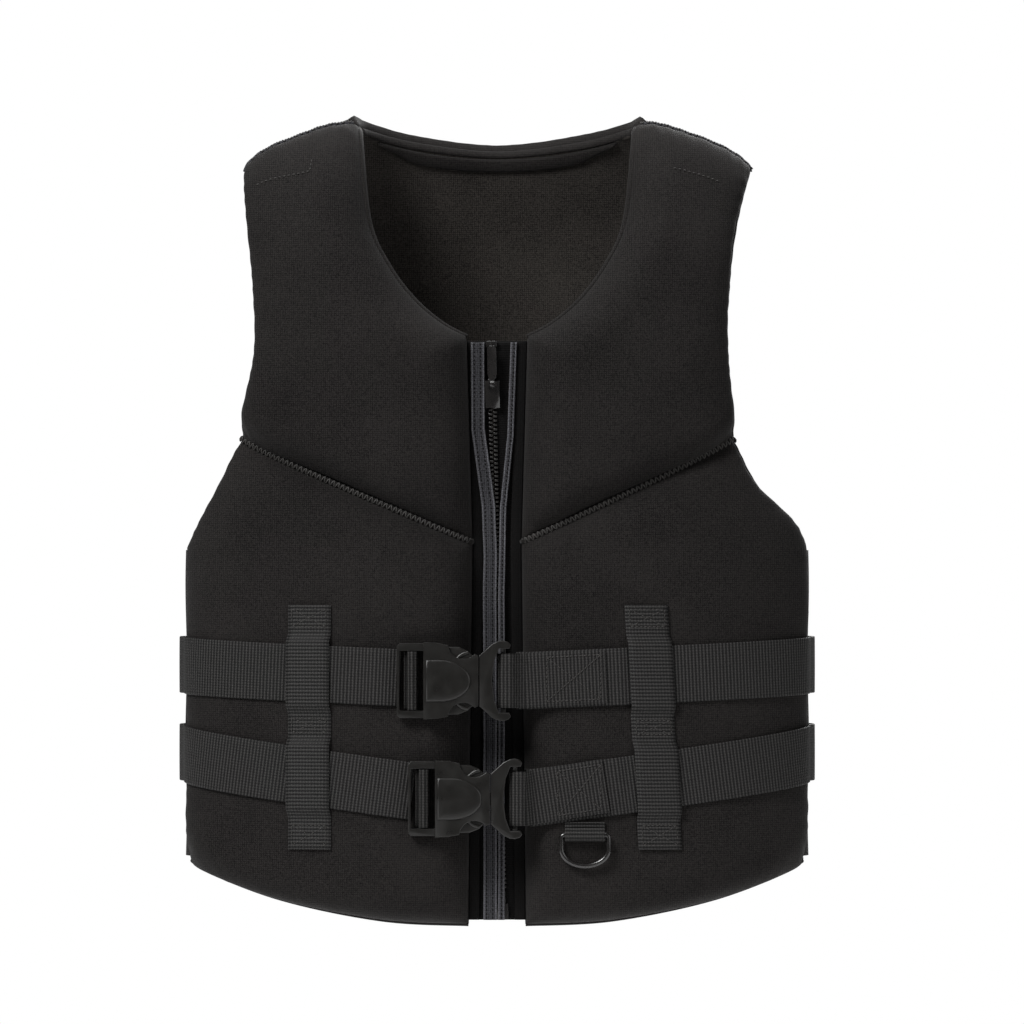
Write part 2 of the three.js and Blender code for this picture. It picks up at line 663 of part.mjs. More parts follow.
// A keeper strap, sewn to the cover at its ends and between the belts, bridging over both belts.
function addKeeper(name, panel, [lowX, highX], facing) {
  const columns = 3;
  const rest = LIE - 0.15;
  const over = 2 * LIE + WEBBING + 0.5;
  const beltZ = BELTS.map((belt) => (facing < 0 ? beltHeight(belt, lowX) : belt.sideZ)).reverse();
  const middleAt = (z) => lowX + (highX - lowX) * (z - KEEPER_LOW_Z) / (KEEPER_HIGH_Z - KEEPER_LOW_Z);
  const half = HALF_BELT + 4;
  const stations = [[KEEPER_LOW_Z, rest]];
  beltZ.forEach((z) => {
    stations.push([z - half - 4, rest], [z - half + 2, over], [z, over], [z + half - 2, over]);
    stations.push([z + half + 4, rest]);
  });
  stations.push([KEEPER_HIGH_Z, rest]);
  const kept = stations.filter(([z], k) => k === 0 || z > stations[k - 1][0] + 0.5);
  add(`${name}_keeper`, 'webbing', slab(columns, kept.length - 1, (i, j, outside) => {
    const [z, lift] = kept[j];
    const place = (middleAt(z) + KEEPER_WIDTH * (i / columns - 0.5)) / KEEPER_SPREAD;
    const spot = new THREE.Vector2(Math.abs(place), z);
    const offset = coverTop(panel, facing < 0 ? spot : new THREE.Vector2(place, z)) + lift;
    return onBody(place, z, offset + (outside ? KEEPER_WEBBING : 0), facing);
  }));
}

// ---- Buckle ----

// Upper half of the female body's outline, from its back end to its mouth.
function femaleEdge(side) {
  const b = BUCKLE;
  const bite = arc(BITE.x, BITE.z, BITE.radius, BITE.from, BITE.to, 8);
  const edge = [[b.bodyLeft, b.halfHeight], [b.lipLeft - 6, b.halfHeight - 0.4],
    [b.lipRight, b.lipHalf], ...bite, [b.mouth, b.neckHalf]];
  return side > 0 ? edge : mirrored(edge);
}

function femaleGeometry() {
  const b = BUCKLE;
  const outline = [...femaleEdge(1), ...femaleEdge(-1)];
  const cavityBack = -b.plate;
  const depth = b.thickness - 2 * b.plate;
  const box = (left, right, half) => solid(block(
    [left, cavityBack - depth, -half], [right, cavityBack, half],
  ));
  const shell = solid(plate(outline, 0, b.thickness))
    .subtract(box(b.bodyLeft + b.endWall, b.mouth + 1, b.cavityHalf))
    .subtract(box(b.pocketLeft, b.lipLeft, b.pocketHalf));
  const joinX = b.bodyLeft + 1;
  const cornerZ = b.frameHalf - b.frameCorner;
  const frame = [[b.frameLeft, -cornerZ], [b.frameLeft + b.frameCorner, -b.frameHalf],
    [joinX, -b.frameHalf], [joinX, b.frameHalf],
    [b.frameLeft + b.frameCorner, b.frameHalf], [b.frameLeft, cornerZ]];
  const slot = (left, right, back, front) => solid(block(
    [left, front, -b.slotHalf], [right, back, b.slotHalf],
  ));
  const thin = (b.frameThick - b.barThick) / 2;
  const frameFront = -b.frameBack - b.frameThick;
  const ladder = solid(plate(frame, -b.frameBack, b.frameThick))
    .subtract(slot(b.frameLeft + b.frameBar, b.barLeft, 0, frameFront - 1))
    .subtract(slot(b.barRight, b.bodyLeft, 0, frameFront - 1))
    .subtract(slot(b.barLeft - 1, b.barRight + 1, 0, -b.frameBack - thin))
    .subtract(slot(b.barLeft - 1, b.barRight + 1, frameFront + thin, frameFront - 1));
  return fromSolid(shell.add(ladder));
}

function adjusterWrapGeometry() {
  const b = BUCKLE;
  const middleX = (b.barLeft + b.barRight) / 2;
  const middleY = -b.frameBack - b.frameThick / 2;
  const turn = b.barThick / 2 + PIECE_GAP + WEBBING / 2;
  const reach = (b.barRight - b.barLeft) / 2 - 0.6;
  const run = [
    [middleX - reach, middleY - turn],
    ...arc(middleX + reach, middleY, turn, -90, 90, 6),
    [middleX - reach - 3, middleY + turn],
  ];
  const half = b.slotHalf - 0.6;
  return closed(upright(thickened(run, WEBBING), -half, half));
}

function maleGeometry() {
  const b = BUCKLE;
  const outer = [[b.yokeLeft, b.neckHalf], [-8, b.neckHalf + 4], [-3.5, b.yokeHalf - 2.5],
    [1, b.yokeHalf - 0.3], [4.5, b.yokeHalf], [8, b.yokeHalf - 1], [b.yokeRight, b.yokeHalf - 3]];
  const eyeHalf = b.slotHalf + 1.4;
  const inner = [[b.yokeRight - 1.1, eyeHalf], [b.webBarLeft - 1.4, eyeHalf], [-1.8, b.hingeZ + 1]];
  const outline = [...mirrored(outer), ...outer, ...inner, [-3.5, 0], ...mirrored(inner)];
  const yoke = solid(plate(outline, -b.frameBack, b.thickness - 2 * b.frameBack));
  const barY = -b.webSlack - WEBBING;
  const bar = solid(block(
    [b.webBarLeft, barY - b.barThick, -b.webBarHalf], [b.webBarRight, barY, b.webBarHalf],
  ));
  const depth = b.prongThick;
  const guide = solid(block(
    [b.guideTip, -b.thickness / 2 - depth / 2, -b.guideHalf],
    [b.yokeLeft + 1.4, -b.thickness / 2 + depth / 2, b.guideHalf],
  ));
  return fromSolid(yoke.add(bar).add(guide));
}

// One prong about its own hinge; side is 1 for the upper prong.
function prongGeometry(side) {
  const b = BUCKLE;
  const root = arc(b.hingeX, b.hingeZ, b.hingeRadius, 75, -120, 8);
  const outline = [
    ...root,
    [-26, b.prongOut - 8.5], [b.prongTip + 1, b.prongOut - 6], [b.prongTip, b.prongOut - 4],
    [b.prongTip, b.prongOut], [b.prongTip + 0.6, b.prongOut + 1.1], [b.prongTip + 2.4, b.prongOut + 1.1],
    [b.prongTip + 3, b.prongOut], [-27, b.prongOut], [-21, b.prongOut - 2.5],
  ];
  const points = side > 0 ? outline : mirrored(outline);
  return closed(plate(points, -(b.thickness - b.prongThick) / 2, b.prongThick));
}

function addBuckle(belt) {
  const buckle = new THREE.Group();
  buckle.position.set(belt.buckleX, BUCKLE_BACK_Y, belt.buckleZ);
  vest.add(buckle);
  add(`${belt.name}_buckle_female`, 'buckle', femaleGeometry(), buckle);
  add(`${belt.name}_adjuster_turn`, 'webbing', adjusterWrapGeometry(), buckle);
  add(`${belt.name}_buckle_male`, 'buckle', maleGeometry(), buckle);
  add(`${belt.name}_prong_upper`, 'buckle', prongGeometry(1), buckle);
  add(`${belt.name}_prong_lower`, 'buckle', prongGeometry(-1), buckle);
}

// ---- Zip ----

const TAPE_BACK_Y = -(PIECE_GAP / 2 + HALF_DEPTH + 0.4);
const TEETH_BACK_Y = TAPE_BACK_Y - TAPE - TEETH_GAP;
const zip = new THREE.Group();
zip.rotation.y = ZIP_LEAN;
zip.position.z = ZIP_MIDDLE_Z;
vest.add(zip);

// Where a front half's middle edge lies at a height.
function frontEdge(z) {
  const share = z < SEAM_IN_Z ? (SEAM_IN_Z - z) / (SEAM_IN_Z - HEM_FRONT_Z)
    : (z - SEAM_IN_Z) / (NECK_FRONT_Z - SEAM_IN_Z);
  const far = z < SEAM_IN_Z ? HEM_EDGE_X : NECK_EDGE_X;
  return FRONT_EDGE_X + (far - FRONT_EDGE_X) * share;
}

function zipMiddle(z) {
  return (z - ZIP_MIDDLE_Z) * Math.tan(ZIP_LEAN);
}

// A strip between two distances from the zip's middle and the front half's edge.
function zipStrip(side, innerAt, outerAt, backY, thickness) {
  const heights = [ZIP_LOW_Z, SEAM_IN_Z, ZIP_HIGH_Z];
  const inner = heights.map((z) => [innerAt(z), z]);
  const outer = heights.map((z) => [side * outerAt(z), z]).reverse();
  return closed(plate([...inner, ...outer], backY, thickness));
}

function addZip() {
  const foot = 11;
  const pinLength = 9;
  const rowLow = ZIP_LOW_Z + foot + pinLength + 2 * TEETH_GAP;
  for (const { name, side } of FRONT_SIDES) {
    const tapeOuter = (z) => frontEdge(z) - PIECE_GAP;
    add(`${name}_zip_tape`, 'tape', zipStrip(
      side, (z) => zipMiddle(z) + side * 0.5, tapeOuter, TAPE_BACK_Y, TAPE,
    ));
    add(`${name}_zip_facing`, 'neoprene', zipStrip(
      side, (z) => side * (frontEdge(z) - PIECE_GAP - FACING_WIDTH), tapeOuter,
      TEETH_BACK_Y, FACING,
    ));
    const span = (low, high, near, far, thick) => block(
      [Math.min(side * near, side * far), TEETH_BACK_Y - thick, low - ZIP_MIDDLE_Z],
      [Math.max(side * near, side * far), TEETH_BACK_Y, high - ZIP_MIDDLE_Z],
    );
    const near = TEETH_GAP / 2;
    const stopLow = ZIP_HIGH_Z - 4;
    add(`${name}_zip_teeth`, 'teeth', span(rowLow, stopLow - TEETH_GAP, near, ROW_HALF, ROW_THICK), zip);
    add(`${name}_zip_top_stop`, 'coatedMetal', span(stopLow, ZIP_HIGH_Z, near, ROW_HALF + 0.6,
      ROW_THICK + 1.4), zip);
    const pinName = side < 0 ? 'zip_retainer_pin' : 'zip_insert_pin';
    const pinLow = ZIP_LOW_Z + foot + TEETH_GAP;
    add(pinName, 'coatedMetal', span(pinLow, pinLow + pinLength, near, 2.2, ROW_THICK), zip);
  }
  add('zip_retainer_box', 'coatedMetal', block(
    [-4, TEETH_BACK_Y - 3, ZIP_LOW_Z - ZIP_MIDDLE_Z],
    [4, TEETH_BACK_Y, ZIP_LOW_Z + foot - ZIP_MIDDLE_Z],
  ), zip);
}

const SLIDER_FACE_Y = TEETH_BACK_Y - ROW_THICK - TEETH_GAP;
const PULL_AXIS_Y = SLIDER_FACE_Y - 2.4 - 3;
const PULL_AXIS_Z = SLIDER_Z + SLIDER_LENGTH / 2 - 2.5;

// The slider: a face over the teeth, flanges beside them and two lugs with a cross bar.
function addSlider() {
  const half = SLIDER_WIDTH / 2;
  const low = SLIDER_Z - SLIDER_LENGTH / 2 - ZIP_MIDDLE_Z;
  const high = low + SLIDER_LENGTH;
  const axisZ = PULL_AXIS_Z - ZIP_MIDDLE_Z;
  const face = solid(block([-half, SLIDER_FACE_Y - 2.4, low], [half, SLIDER_FACE_Y, high]));
  const flange = (side) => solid(block(
    [Math.min(side * half, side * (ROW_HALF + TEETH_GAP)), SLIDER_FACE_Y - 1, low],
    [Math.max(side * half, side * (ROW_HALF + TEETH_GAP)), TEETH_BACK_Y - 0.2, high],
  ));
  const lug = (side) => solid(block(
    [Math.min(side * 2, side * 3.4), PULL_AXIS_Y - 1.6, axisZ - 2],
    [Math.max(side * 2, side * 3.4), SLIDER_FACE_Y - 2, axisZ + 2],
  ));
  const rod = (radius, length) => solid(new THREE.CylinderGeometry(radius, radius, length, 12)
    .rotateZ(Math.PI / 2).translate(0, PULL_AXIS_Y, axisZ));
  add('zip_slider', 'coatedMetal', fromSolid(
    face.add(flange(-1)).add(flange(1)).add(lug(-1)).add(lug(1)).add(rod(1, 5.4)),
  ), zip);
  const hub = rod(2.5, 3.2).subtract(rod(1.35, 5));
  const neck = solid(block([-1.6, PULL_AXIS_Y - 0.8, axisZ + 1.8], [1.6, PULL_AXIS_Y + 0.8, axisZ + 5]));
  const blade = solid(plate(
    [[-2.2, axisZ + 4], [2.2, axisZ + 4], [3.2, axisZ + 7], [3.2, axisZ + PULL_LENGTH - 2],
      [2, axisZ + PULL_LENGTH], [-2, axisZ + PULL_LENGTH], [-3.2, axisZ + PULL_LENGTH - 2],
      [-3.2, axisZ + 7]],
    PULL_AXIS_Y + 0.8, 1.6,
  ));
  add('zip_pull', 'coatedMetal', fromSolid(hub.add(neck).add(blade)), zip);
}

// ---- D-ring and its tab ----

function addRing() {
  const r = RING;
  const tabTop = beltHeight(BELTS[1], r.x) - HALF_BELT - r.beltGap;
  const bar = tabTop - r.tabRise;
  const low = bar - r.height;
  const spot = new THREE.Vector2(r.x, bar);
  const padY = onBody(r.x, bar, coverTop(panels.left.waist, spot), -1)[1];
  const tabBack = padY - LIE - WEBBING / 2;
  const turn = r.wire / Math.SQRT2 + 0.3 + WEBBING / 2;
  const middleY = tabBack - turn;
  const run = [[tabBack, tabTop], ...arc(middleY, bar, turn, 0, -180, 8),
    [middleY - turn, tabTop - 4]];
  const shape = new THREE.Shape(thickened(run, WEBBING).map(([y, z]) => new THREE.Vector2(y, z)));
  const tab = new THREE.ExtrudeGeometry(shape, { depth: r.tabWidth, bevelEnabled: false });
  const cyclic = new THREE.Matrix4().set(
    0, 0, 1, r.x - r.tabWidth / 2, 1, 0, 0, 0, 0, 1, 0, 0, 0, 0, 0, 1,
  );
  add('d_ring_tab', 'webbing', closed(tab.applyMatrix4(cyclic)));
  const flattening = 0.75;
  const bow = (half, base, high) => {
    const turnZ = base + half * flattening;
    const curve = arc(r.x, turnZ, half, 180, 360, 12).slice(1, -1)
      .map(([x, z]) => [x, turnZ + (z - turnZ) * flattening]);
    return [[r.x - half, high], [r.x - half, turnZ], ...curve, [r.x + half, turnZ],
      [r.x + half, high]];
  };
  const outer = bow(r.halfWidth, low, bar + r.wire / 2);
  const inner = bow(r.halfWidth - r.wire, low + r.wire, bar - r.wire / 2);
  const backY = middleY + r.wire / 2;
  const hole = solid(plate(inner, backY + 1, r.wire + 2));
  add('d_ring', 'coatedMetal', fromSolid(solid(plate(outer, backY, r.wire)).subtract(hole)));
}

addBack();
addNeckBand();
FRONT_SIDES.forEach(({ name, side }) => addSidePanel(name, side));
BELTS.forEach((belt) => {
  addBelt(belt);
  addLoop(belt);
  addBuckle(belt);
});
FRONT_SIDES.forEach(({ name }) => {
  addKeeper(`${name}_front`, panels[name].waist, FRONT_KEEPERS[name], -1);
  addKeeper(`${name}_back`, panels.back.waist, BACK_KEEPERS[name], 1);
});
addZip();
addSlider();
addRing();

export default vest;
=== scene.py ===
"""The looks of a foam-filled neoprene buoyancy vest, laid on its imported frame.

Sizes are in millimetres, and every mesh is made in metres in the frame's own axes: +X towards
the wearer's left, +Y towards the wearer's back, +Z up. Heights in the classes are counted from
the hem, as a pattern cutter counts them, and BodyForm lowers them to the frame's origin.
"""

import logging
import math
from dataclasses import dataclass, field
from enum import Enum
from typing import Any, Callable, Optional, Sequence

import bmesh
import bpy
import numpy as np
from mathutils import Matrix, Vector

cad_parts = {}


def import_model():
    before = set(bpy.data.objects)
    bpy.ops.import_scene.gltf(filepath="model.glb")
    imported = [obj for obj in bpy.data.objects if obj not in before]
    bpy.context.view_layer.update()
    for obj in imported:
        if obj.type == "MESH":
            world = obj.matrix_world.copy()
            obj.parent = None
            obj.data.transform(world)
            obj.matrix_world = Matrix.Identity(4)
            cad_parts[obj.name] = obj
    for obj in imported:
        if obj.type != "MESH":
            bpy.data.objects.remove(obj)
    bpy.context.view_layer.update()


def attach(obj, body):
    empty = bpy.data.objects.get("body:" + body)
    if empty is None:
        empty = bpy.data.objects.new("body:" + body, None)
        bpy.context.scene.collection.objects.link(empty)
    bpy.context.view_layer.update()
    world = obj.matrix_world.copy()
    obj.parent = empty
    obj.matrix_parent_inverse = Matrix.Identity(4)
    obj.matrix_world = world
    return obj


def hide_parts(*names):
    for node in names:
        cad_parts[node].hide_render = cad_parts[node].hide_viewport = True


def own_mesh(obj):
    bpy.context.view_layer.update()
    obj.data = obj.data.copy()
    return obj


MM = 0.001
# A wave texture of scale 1 repeats this many times in a metre.
WAVES_PER_UNIT = 3.18
log = logging.getLogger("vest")
Points = np.ndarray


class Facing(Enum):
    """Which half of the vest a piece belongs to."""

    FRONT = -1
    BACK = 1


class Side(Enum):
    """The wearer's side, as the sign of X."""

    RIGHT = -1
    LEFT = 1


# ---- Finishes ----


def linear(code: str) -> tuple[float, float, float, float]:
    """Turns an sRGB hex colour into linear red, green, blue and alpha.

    Args:
        code: six hex digits after a hash sign.

    Returns:
        Four numbers from 0 to 1.
    """
    channels = [int(code[k : k + 2], 16) / 255 for k in (1, 3, 5)]
    red, green, blue = (
        c / 12.92 if c <= 0.04045 else ((c + 0.055) / 1.055) ** 2.4 for c in channels
    )
    return red, green, blue, 1.0


def add_node(
    tree: bpy.types.NodeTree, kind: str, inputs: dict[Any, Any], **settings: Any
) -> bpy.types.Node:
    """Adds one node with its settings, its set values and its links.

    Args:
        tree: the material's node tree.
        kind: the node's type name.
        inputs: for each input's name or number, a value or another node's output.
        settings: the node's own properties.

    Returns:
        The new node.
    """
    node = tree.nodes.new(kind)
    for name, value in settings.items():
        setattr(node, name, value)
    for key, value in inputs.items():
        if isinstance(value, bpy.types.NodeSocket):
            tree.links.new(value, node.inputs[key])
        else:
            node.inputs[key].default_value = value
    return node


def blank(name: str) -> tuple[bpy.types.Material, bpy.types.NodeTree]:
    """Makes an empty node material and returns it with its tree."""
    material = bpy.data.materials.new(name)
    material.use_nodes = True
    material.node_tree.nodes.clear()
    return material, material.node_tree


def close_material(
    material: bpy.types.Material,
    share: bpy.types.NodeSocket,
    colours: tuple[str, str],
    relief: tuple[bpy.types.NodeSocket, float, float],
    shading: dict[str, Any],
) -> bpy.types.Material:
    """Ends a material: two colours mixed, a bump, and the shader that takes both.

    Args:
        material: the material, with its patterns already made.
        share: the output that mixes the two colours.
        colours: the first and second colour, as hex codes.
        relief: the output that raises the bump, its strength and its height in millimetres.
        shading: the shader's other inputs.

    Returns:
        The same material.
    """
    tree = material.node_tree
    first, second = map(linear, colours)
    mix = add_node(tree, "ShaderNodeMix", {0: share, 6: first, 7: second}, data_type="RGBA")
    height, strength, depth = relief
    raised = {"Height": height, "Strength": strength, "Distance": depth * MM}
    bump = add_node(tree, "ShaderNodeBump", raised)
    inputs = {"Base Color": mix.outputs[2], "Normal": bump.outputs["Normal"], **shading}
    shader = add_node(tree, "ShaderNodeBsdfPrincipled", inputs)
    add_node(tree, "ShaderNodeOutputMaterial", {"Surface": shader.outputs[0]})
    return material


@dataclass(frozen=True)
class Cloth:
    """Knitted jersey glued to neoprene foam: matt, soft-edged highlights, a fine knit."""

    name: str = "jersey_faced_neoprene"
    dark: str = "#080707"
    light: str = "#232120"
    # A jersey stitch is about 0.7 mm wide, too fine to show, so it is drawn twice as wide.
    stitch: float = 1.5
    roughness: float = 0.86
    sheen: float = 0.03
    depth: float = 0.16

    def make(self) -> bpy.types.Material:
        """Builds the knit from crossed waves broken up by fibre noise."""
        material, tree = blank(self.name)
        place = add_node(tree, "ShaderNodeTexCoord", {}).outputs["Object"]
        fibre = add_node(
            tree,
            "ShaderNodeTexNoise",
            {"Vector": place, "Scale": 1 / (self.stitch * 0.8 * MM), "Detail": 3.0},
        )
        wave = {
            "Vector": place,
            "Scale": 1 / (self.stitch * MM) / WAVES_PER_UNIT,
            "Distortion": 2.4,
            "Detail": 2.0,
        }
        courses, wales = (
            add_node(tree, "ShaderNodeTexWave", wave, bands_direction=way) for way in "ZX"
        )
        knit = add_node(
            tree,
            "ShaderNodeMath",
            {0: courses.outputs["Fac"], 1: wales.outputs["Fac"]},
            operation="MULTIPLY",
        )
        height = add_node(
            tree,
            "ShaderNodeMath",
            {0: knit.outputs[0], 1: 0.4, 2: fibre.outputs["Fac"]},
            operation="MULTIPLY_ADD",
        )
        worn = add_node(
            tree,
            "ShaderNodeTexNoise",
            {"Vector": place, "Scale": 1 / (60 * MM), "Detail": 4.0},
        )
        rubbed = add_node(
            tree,
            "ShaderNodeMath",
            {0: worn.outputs["Fac"], 1: 0.16},
            operation="MULTIPLY",
        )
        # The colour follows the knit's relief, so its low places are darker: painted shade in the
        # knit's hollows, with the broad noise as random tone.
        tone = add_node(
            tree,
            "ShaderNodeMath",
            {0: height.outputs[0], 1: 0.42, 2: rubbed.outputs[0]},
            operation="MULTIPLY_ADD",
        )
        colour = add_node(
            tree,
            "ShaderNodeMapRange",
            {"Value": tone.outputs[0], "From Min": 0.22, "From Max": 0.45},
        )
        relief = (height.outputs[0], 0.7, self.depth)
        shading = {
            "Roughness": self.roughness,
            "Specular IOR Level": 0.08,
            "Sheen Weight": self.sheen,
            "Sheen Roughness": 0.5,
        }
        share = colour.outputs["Result"]
        return close_material(material, share, (self.dark, self.light), relief, shading)


@dataclass(frozen=True)
class Weave:
    """Woven strap or tape: ridges across its length with finer yarns along it."""

    name: str = "ribbed_polyester_webbing"
    dark: str = "#0a0a0a"
    light: str = "#343332"
    rib: float = 2.5
    yarn: float = 1.9
    roughness: float = 0.6
    specular: float = 0.14
    depth: float = 0.5

    def make(self) -> bpy.types.Material:
        """Builds ribs along the strap's own length, which its UV map holds in metres."""
        material, tree = blank(self.name)
        place = add_node(tree, "ShaderNodeUVMap", {}, uv_map="strap").outputs["UV"]
        solid = add_node(tree, "ShaderNodeTexCoord", {}).outputs["Object"]
        parts = add_node(tree, "ShaderNodeSeparateXYZ", {"Vector": place})
        fuzz = add_node(
            tree,
            "ShaderNodeTexNoise",
            {"Vector": solid, "Scale": 1 / (1.1 * MM), "Detail": 2.0},
        )
        sway = add_node(
            tree,
            "ShaderNodeMath",
            {0: fuzz.outputs["Fac"], 1: 1.3},
            operation="MULTIPLY",
        )
        waves = []
        for axis, pitch in (("X", self.rib), ("Y", self.yarn)):
            turns = {0: parts.outputs[axis], 1: 2 * math.pi / (pitch * MM), 2: sway.outputs[0]}
            phase = add_node(tree, "ShaderNodeMath", turns, operation="MULTIPLY_ADD")
            waves.append(
                add_node(tree, "ShaderNodeMath", {0: phase.outputs[0]}, operation="SINE")
            )
        ribs, yarns = waves
        height = add_node(
            tree,
            "ShaderNodeMath",
            {0: yarns.outputs[0], 1: 0.4, 2: ribs.outputs[0]},
            operation="MULTIPLY_ADD",
        )
        # The colour follows the ribs' relief: painted shade in the troughs between ribs and yarns,
        # painted highlight on their crests.
        share = add_node(
            tree,
            "ShaderNodeMapRange",
            {"Value": height.outputs[0], "From Min": -0.7, "From Max": 1.5},
        )
        level = share.outputs["Result"]
        shading = {
            "Roughness": self.roughness,
            "Specular IOR Level": self.specular,
            "Sheen Weight": 0.02,
        }
        relief = (level, 0.9, self.depth)
        return close_material(material, level, (self.dark, self.light), relief, shading)


@dataclass(frozen=True)
class Moulded:
    """Injection-moulded or coated part: satin, with a faint grain and softly worn patches."""

    name: str = "satin_moulded_acetal"
    base: str = "#0d0c0b"
    worn: str = "#151412"
    roughness: tuple[float, float] = (0.27, 0.38)
    grain: float = 0.8
    depth: float = 0.03
    specular: float = 0.36
    coat: float = 0.0

    def make(self) -> bpy.types.Material:
        """Builds the grain as a shallow bump and lets the gloss vary over a few millimetres."""
        material, tree = blank(self.name)
        place = add_node(tree, "ShaderNodeTexCoord", {}).outputs["Object"]
        grit = add_node(
            tree,
            "ShaderNodeTexNoise",
            {"Vector": place, "Scale": 1 / (self.grain * MM), "Detail": 2.0},
        )
        patch = add_node(
            tree,
            "ShaderNodeTexNoise",
            {"Vector": place, "Scale": 1 / (9 * MM), "Detail": 3.0},
        )
        gloss = add_node(
            tree,
            "ShaderNodeMapRange",
            {
                "Value": patch.outputs["Fac"],
                "From Min": 0.3,
                "From Max": 0.7,
                "To Min": self.roughness[0],
                "To Max": self.roughness[1],
            },
        )
        relief = (grit.outputs["Fac"], 0.5, self.depth)
        shading = {
            "Roughness": gloss.outputs["Result"],
            "Specular IOR Level": self.specular,
            "Coat Weight": self.coat,
            "Coat Roughness": 0.12,
        }
        share = patch.outputs["Fac"]
        return close_material(material, share, (self.base, self.worn), relief, shading)


@dataclass
class Finishes:
    """Every material of the vest, made once."""

    neoprene: bpy.types.Material = field(default_factory=lambda: Cloth().make())
    # The zip's flaps are cut from the same cloth, drawn lighter all over as a painted highlight on
    # the raised folds.
    flap: bpy.types.Material = field(
        default_factory=lambda: Cloth(
            name="folded_neoprene_flap", dark="#141416", light="#3a3a3d", sheen=0.08
        ).make()
    )
    # The flaps' folded edges take a pale cloth, a painted highlight that draws two light lines down
    # the zip.
    piping: bpy.types.Material = field(
        default_factory=lambda: Cloth(
            name="rubbed_neoprene_piping", dark="#2c2c2e", light="#58585c", sheen=0.08
        ).make()
    )
    # Near-black thread is painted shade for the stitch holes in the flaps, drawn as a row of dark
    # dots.
    shade_dark_thread: bpy.types.Material = field(
        default_factory=lambda: Moulded(
            name="sunk_nylon_thread",
            base="#030303",
            worn="#080808",
            roughness=(0.6, 0.7),
            specular=0.1,
        ).make()
    )
    # Brushed knit inside, a little lighter than the outer face.
    lining: bpy.types.Material = field(
        default_factory=lambda: Cloth(
            name="knitted_nylon_lining", dark="#12100f", light="#35322f", stitch=1.5, depth=0.15
        ).make()
    )
    # The facing lies deep between the pads, so its cloth is darkened as painted shade for that gap.
    facing: bpy.types.Material = field(
        default_factory=lambda: Cloth(
            name="pressed_neoprene_facing", dark="#040404", light="#100f0f", sheen=0.0
        ).make()
    )
    webbing: bpy.types.Material = field(default_factory=lambda: Weave().make())
    # Zip tape is a flat herringbone, much finer than the belts, darkened as painted shade for the
    # deep gap beside the teeth.
    tape: bpy.types.Material = field(
        default_factory=lambda: Weave(
            name="woven_zip_tape", dark="#040404", light="#0f0e0e", rib=1.6, yarn=1.4,
            specular=0.05, depth=0.15
        ).make()
    )
    # Bonded thread catches a little more light than the cloth it sinks into.
    thread: bpy.types.Material = field(
        default_factory=lambda: Moulded(
            name="bonded_nylon_thread",
            base="#1f1e1d",
            worn="#33312f",
            roughness=(0.5, 0.65),
            grain=0.6,
            depth=0.08,
            specular=0.35,
        ).make()
    )
    plastic: bpy.types.Material = field(default_factory=lambda: Moulded().make())
    # Zip teeth are the same plastic with a tighter, glossier skin.
    teeth: bpy.types.Material = field(
        default_factory=lambda: Moulded(
            name="moulded_zip_teeth", base="#141312", worn="#1f1d1b", roughness=(0.28, 0.4)
        ).make()
    )
    # Black electrophoretic coat over zinc or steel: dark, with small sharp highlights.
    metal: bpy.types.Material = field(
        default_factory=lambda: Moulded(
            name="black_coated_metal",
            base="#0c0b0b",
            worn="#151312",
            roughness=(0.2, 0.32),
            depth=0.015,
            coat=0.5,
        ).make()
    )


# ---- Mesh making ----


class Heap:
    """Points and faces gathered from several small forms into one mesh."""

    def __init__(self) -> None:
        """Starts empty."""
        self.points: list[Points] = []
        self.faces: list[tuple[int, ...]] = []
        self.maps: list[Points] = []
        self.count = 0

    def add(
        self, points: Points, faces: Sequence[Sequence[int]], uv: Optional[Points] = None
    ) -> None:
        """Adds one form.

        Args:
            points: its corners, in metres.
            faces: its faces, as corner numbers of this form.
            uv: a flat place for each corner, in metres.
        """
        self.points.append(points.reshape(-1, 3))
        self.maps.append(np.zeros((len(self.points[-1]), 2)) if uv is None else uv)
        self.faces += [tuple(k + self.count for k in face) for face in faces]
        self.count += len(self.points[-1])

    def make(self, name: str, material: bpy.types.Material) -> bpy.types.Object:
        """Makes the mesh, with smooth faces that point outwards.

        Args:
            name: the piece's name.
            material: its finish.

        Returns:
            The new object.
        """
        mesh = bpy.data.meshes.new(name)
        mesh.from_pydata(np.concatenate(self.points).tolist(), [], self.faces)
        layer = mesh.uv_layers.new(name="strap")
        corners = np.zeros(len(mesh.loops), int)
        mesh.loops.foreach_get("vertex_index", corners)
        layer.data.foreach_set("uv", np.concatenate(self.maps)[corners].ravel())
        build = bmesh.new()
        build.from_mesh(mesh)
        bmesh.ops.recalc_face_normals(build, faces=build.faces)
        build.to_mesh(mesh)
        build.free()
        mesh.shade_smooth()
        mesh.materials.append(material)
        piece = bpy.data.objects.new(name, mesh)
        bpy.context.scene.collection.objects.link(piece)
        return piece


def place_piece(
    piece: bpy.types.Object, body: str = "vest", nodes: Sequence[str] = ()
) -> bpy.types.Object:
    """Sets a piece on its body, in place of its CAD nodes, and reports it.

    Args:
        piece: the new piece.
        body: the body it rides on.
        nodes: the CAD nodes it stands for.

    Returns:
        The piece.
    """
    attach(piece, body)
    if nodes:
        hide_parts(*nodes)
    log.info("%s rides on %s in place of %s", piece.name, body, ", ".join(nodes) or "nothing")
    return piece


def grid_faces(rows: int, columns: int, start: int = 0) -> list[tuple[int, ...]]:
    """Lists the squares of a grid of corners numbered row by row from start."""
    return [
        (
            start + j * columns + i,
            start + j * columns + i + 1,
            start + (j + 1) * columns + i + 1,
            start + (j + 1) * columns + i,
        )
        for j in range(rows - 1)
        for i in range(columns - 1)
    ]


